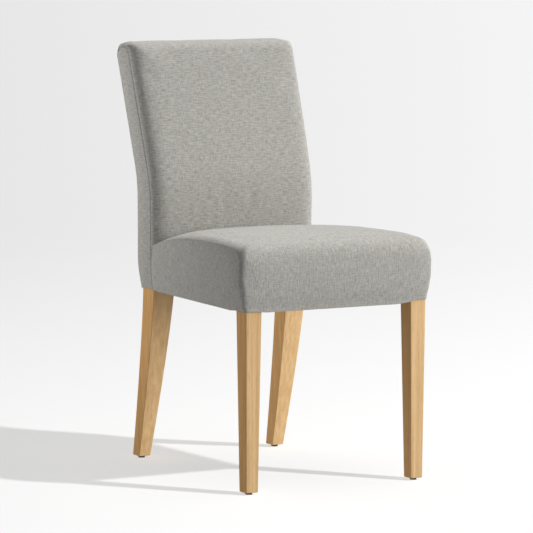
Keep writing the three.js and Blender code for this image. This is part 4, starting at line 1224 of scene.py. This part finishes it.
foamForm = {
    "voxel": 0.006,  # metres
    "softenRounds": 2,
    "shrink": 0.0012,  # metres
    "shortOfBack": 2.5, "underCover": 2.2, "coverReach": 15.0,
    "seatTop": 560.0,  # panels with their middle below it belong to the seat
    "fill": 0.9,
}


# The foam is drawn in wherever it comes closer to the cloth than its thickness allows
def insideCover(points, ofSeat):
    chosen = [skin for skin in skins if (skin[0] < foamForm["seatTop"]) == ofSeat]
    cloth, normals = (np.concatenate([skin[k] for skin in chosen]) for k in (1, 2))
    nearest, away = nearestOf(cloth, points)
    height = ((points - cloth[nearest]) * normals[nearest]).sum(axis=1)
    excess = np.maximum(0, height + foamForm["underCover"])
    excess[away > foamForm["coverReach"]] = 0
    return points - normals[nearest] * excess[:, None]


def buildFoam(material):
    form = foamForm
    for name, cadName in (("seatFoam", "seat_foam"), ("backFoam", "back_foam")):
        item = addObject(name, nodes[cadName].data.copy())
        item.data.materials.clear()
        item.data.materials.append(material)
        addModifier(item, "remesh", "REMESH", mode="VOXEL", voxel_size=form["voxel"])
        addModifier(item, "soften", "SMOOTH", iterations=form["softenRounds"])
        addModifier(item, "pull", "DISPLACE", strength=-form["shrink"], mid_level=0)
        shaped = item.evaluated_get(bpy.context.evaluated_depsgraph_get())
        final = bpy.data.meshes.new_from_object(shaped)
        item.modifiers.clear()
        points = np.array([point.co for point in final.vertices]) / mm
        if name == "seatFoam":
            limit = shortOfBack(points[:, 0], np.inf, points[:, 2]) - form["shortOfBack"]
            points[:, 1] = np.minimum(points[:, 1], limit)
        points = insideCover(points, name == "seatFoam")
        final.vertices.foreach_set("co", (points * mm).ravel())
        item.data = final
        item.data.shade_smooth()
        declare(item, cadName)
        print("foam:", name, len(final.vertices), "points")


# Legs

legForm = {
    "arris": 2.2, "arrisSteps": 5,
    "foot": 4.8,  # underside of the wood, on its glide
    "footRound": 1.8, "footSteps": 4,
    "frontWidth": (38.5, 29.5), "frontDepth": (42.0, 29.5), "frontDrawIn": 3.3,
    "rearWidth": (52.7, 29.2), "rearDepth": (50.0, 30.4), "rearDrawIn": 9.4,
    "kick": 82.0, "kickPower": 1.25, "topWidth": 38.0, "lowerSteps": 36,
    "upperStart": 12.0,  # above the hem
    "frontSteps": 8, "rearSteps": 52,
}


# Inner, outer, front and rear face at a height
def frontLegFaces(z):
    form = legForm
    share = min(1.0, (z - form["foot"]) / (lines["hem"] - form["foot"]))
    outer = lines["frontLegOuter"] - form["frontDrawIn"] * (1 - share)
    width = mix(form["frontWidth"][1], form["frontWidth"][0], share)
    depth = mix(form["frontDepth"][1], form["frontDepth"][0], share)
    return outer - width, outer, lines["frontLegFace"], lines["frontLegFace"] + depth


def rearLegFaces(z):
    form = legForm
    if z >= lines["hem"]:
        outer = float(postOuter(z))
        slim = max(0.0, (z - lines["railTop"]) / (lines["postTop"] - lines["railTop"]))
        return (outer - mix(form["rearWidth"][0], form["topWidth"], slim), outer,
                lines["rearPostFront"] + float(leanBack(z, lines["frontBend"])),
                lines["rearPostBack"] + float(leanBack(z, lines["rearBend"])))
    drop = (lines["hem"] - z) / (lines["hem"] - form["foot"])
    sweep = drop ** form["kickPower"]
    outer = lines["rearLegOuter"] - form["rearDrawIn"] * drop
    thinner = form["rearDepth"][1] - form["rearDepth"][0]
    return (outer - mix(*form["rearWidth"], drop), outer,
            lines["rearPostFront"] + form["kick"] * sweep,
            lines["rearPostBack"] + (form["kick"] + thinner) * sweep)


def legRing(faces, z, draw, side):
    inner, outer, front, back = faces
    radius = legForm["arris"]
    left, right, near, far = inner + radius, outer - radius, front + radius, back - radius
    points = []
    for x, y, start in ((right, far, 0), (left, far, 90), (left, near, 180), (right, near, 270)):
        for angle in np.radians(np.linspace(start, start + 90, legForm["arrisSteps"])):
            points.append((side * (x + (radius - draw) * math.cos(angle)),
                           y + (radius - draw) * math.sin(angle), z))
    return points


def buildLegs(material):
    form = legForm
    base, bend = form["foot"], form["footRound"]
    foot = [(base + bend * (1 - math.cos(angle)), bend * (1 - math.sin(angle)))
            for angle in np.linspace(0, math.pi / 2, form["footSteps"])]
    for kind, facesAt, top in (("front", frontLegFaces, lines["railTop"]),
                               ("rear", rearLegFaces, lines["postTop"])):
        heights = [*np.linspace(base + 2 * bend, lines["hem"], form["lowerSteps"]),
                   *np.linspace(lines["hem"] + form["upperStart"], top, form[kind + "Steps"])]
        for side, label in bothSides:
            rings = [legRing(facesAt(z), z, draw, side)
                     for z, draw in foot + [(height, 0.0) for height in heights]]
            count = len(rings[0])
            last = (len(rings) - 1) * count
            faces = tubeFaces(len(rings), count)
            faces += [tuple(range(count))[::-1], tuple(range(last, last + count))]
            if side < 0:
                faces = [face[::-1] for face in faces]
            name = kind + "Leg" + label
            mesh = newMesh(name, np.concatenate(rings), faces, material)
            mesh.shade_smooth()
            item = addObject(name, mesh)
            addModifier(item, "evenShade", "WEIGHTED_NORMAL", weight=100, keep_sharp=True)
            declare(item, f"{kind}_leg_{label.lower()}")
    print("legs: 4")


# Glides

glideForm = {
    "radius": 7.5, "height": 4.5, "round": 1.2, "roundSteps": 6,
    "bevel": (0.5, 0.6),
    "nail": 1.3, "nailLength": 9.0, "nailTip": 1.5, "sides": 40,
    "flat": 0.9,  # faces that look up or down this much stay flat
}


def buildGlides(material):
    form = glideForm
    radius, height, bend, nail = form["radius"], form["height"], form["round"], form["nail"]
    tip = height + form["nailLength"]
    profile = [(radius - bend * (1 - math.sin(angle)), bend * (1 - math.cos(angle)))
               for angle in np.linspace(0, math.pi / 2, form["roundSteps"])]
    profile += [(radius, height - form["bevel"][1]), (radius - form["bevel"][0], height),
                (nail, height), (nail, tip)]
    count = form["sides"]
    turns = [2 * math.pi * k / count for k in range(count)]
    last = (len(profile) - 1) * count
    faces = tubeFaces(len(profile), count)
    for k in range(count):
        n = (k + 1) % count
        faces += [(n, k, last + count), (last + k, last + n, last + count + 1)]
    for kind, facesAt in (("front", frontLegFaces), ("rear", rearLegFaces)):
        inner, outer, front, back = facesAt(legForm["foot"])
        for side, label in bothSides:
            x, y = side * (inner + outer) / 2, (front + back) / 2
            points = [(x + out * math.cos(turn), y + out * math.sin(turn), z)
                      for out, z in profile for turn in turns]
            points += [(x, y, 0.0), (x, y, tip + form["nailTip"])]
            name = f"glide{kind.capitalize()}{label}"
            mesh = newMesh(name, points, faces, material)
            for face in mesh.polygons:
                face.use_smooth = abs(face.normal.z) < form["flat"]
            declare(addObject(name, mesh), f"glide_{kind}_{label.lower()}")
    print("glides: 4")


# Dust cover and its staples

dustForm = {
    "edge": 387.3,  # height of its edges, under the turned-in hem
    "sag": 1.8,
    "sagMiddle": -50.0, "sagReach": 252.0, "fold": 0.35,
    "folds": (14.0, 23.0, 37.0),
    "foldDrift": 130.0, "foldSway": 2.0, "foldGrowth": 3.0,
    "margin": 5.0, "legGap": 0.6, "thickness": 0.4,
    "rows": (8, 60, 9),  # between the front legs, behind them, between the rear legs
    "columns": 61,
    "slices": 400,  # for the flat area
}
staple = {
    "step": 42.0, "inset": 6.0, "width": 10.0, "wire": 0.6, "rise": 2.2,
    "frontHalf": 176, "rearHalf": 134, "sideEnd": 10, "skew": 0.12,
}


def dustHalf(depth):
    gap = dustForm["legGap"]
    if depth < lines["frontLegBack"] + gap / 2:
        return lines["frontLegOuter"] - legForm["frontWidth"][0] - gap
    if depth > lines["rearPostFront"] - gap / 2:
        return lines["rearLegOuter"] - legForm["rearWidth"][0] - gap
    return float(frameOuter(depth)) - dustForm["margin"]


def buildDustCover(cloth, wire):
    form = dustForm
    front = lines["frontLegFace"] + form["margin"]
    back = lines["rearPostBack"] - form["margin"]
    gap, starts = form["legGap"], (lines["frontLegBack"], lines["rearPostFront"] - form["legGap"])
    ends = ((front, starts[0]), (starts[0] + gap, starts[1]), (starts[1] + gap, back))
    depths = np.concatenate([np.linspace(*pair, rows) for pair, rows in zip(ends, form["rows"])])
    rng = np.random.default_rng(3)
    shifts = rng.uniform(0, 2 * math.pi, 6)  # the staples' draws follow these six
    x = np.array([np.linspace(-1, 1, form["columns"]) * dustHalf(depth) for depth in depths])
    y = np.broadcast_to(depths[:, None], x.shape)
    across = 1 - (x / lines["frontLegOuter"]) ** 2
    along = 1 - ((y - form["sagMiddle"]) / form["sagReach"]) ** 2
    hang = np.clip(across * along, 0, 1)
    folds = 0
    for length, shift in zip(form["folds"], shifts):
        sway = form["foldSway"] * np.sin(y / form["foldDrift"] + shift)
        folds = folds + np.sin(x / length + sway + shift)
    folds = folds * np.clip(hang * form["foldGrowth"], 0, 1)
    z = form["edge"] - form["sag"] * hang - form["fold"] * folds
    grid = np.stack([x, y, z], axis=2)
    sheet = sheetObject("dustCover", grid, clothPlaces(grid), (0, 0, -1), cloth,
                        form["thickness"], False)
    declare(sheet, "dust_cover")
    width, length = 2 * dustHalf(lines["frontLegBack"] + 1) * mm, (back - front) * mm
    places = []
    for depth, half in ((front + staple["inset"], staple["frontHalf"]),
                        (back - staple["inset"], staple["rearHalf"])):
        count = int(2 * half / staple["step"])
        places += [(mix(-half, half, (k + 0.5) / count), depth, 0.0) for k in range(count)]
    start, end = lines["frontLegBack"], lines["rearPostFront"]
    count = int((end - start) / staple["step"])
    for side, _ in bothSides:
        for k in range(count):
            depth = mix(start + staple["sideEnd"], end - staple["sideEnd"], (k + 0.5) / count)
            places.append((side * (dustHalf(depth) - staple["inset"]), depth, math.pi / 2))
    buildStaples(places, rng, wire)


def buildStaples(places, rng, material):
    half, wire, rise = staple["width"] / 2, staple["wire"], staple["rise"]
    low = dustForm["edge"] - dustForm["thickness"] - wire
    outline = ((-half, rise), (-half, 0), (half, 0), (half, rise), (half - wire, rise),
               (half - wire, wire), (wire - half, wire), (wire - half, rise))
    count = len(outline)
    solid = tubeFaces(2, count)
    for quad in ((0, 1, 6, 7), (1, 2, 5, 6), (2, 3, 4, 5)):
        solid += [quad[::-1], tuple(count + k for k in quad)]
    points, faces = [], []
    for x, y, turn in places:
        turn += rng.normal(0, staple["skew"])
        c, s = math.cos(turn), math.sin(turn)
        faces += [tuple(len(points) + k for k in face) for face in solid]
        points += [(x + along * c - offset * s, y + along * s + offset * c, low + z)
                   for offset in (-wire / 2, wire / 2) for along, z in outline]
    mesh = newMesh("dustCoverStaples", points, faces, material)
    declare(addObject("dustCoverStaples", mesh))
    print("dust cover:", len(places), "staples")


buildCamera()
chairLights, legLights = buildStudio()
materials = buildMaterials()
finishFrame(materials)
buildCover(materials["cover"])
buildFoam(materials["foam"])
buildLegs(materials["oak"])
buildGlides(materials["plastic"])
buildDustCover(materials["cambric"], materials["zinc"])
lightChair(chairLights, legLights)
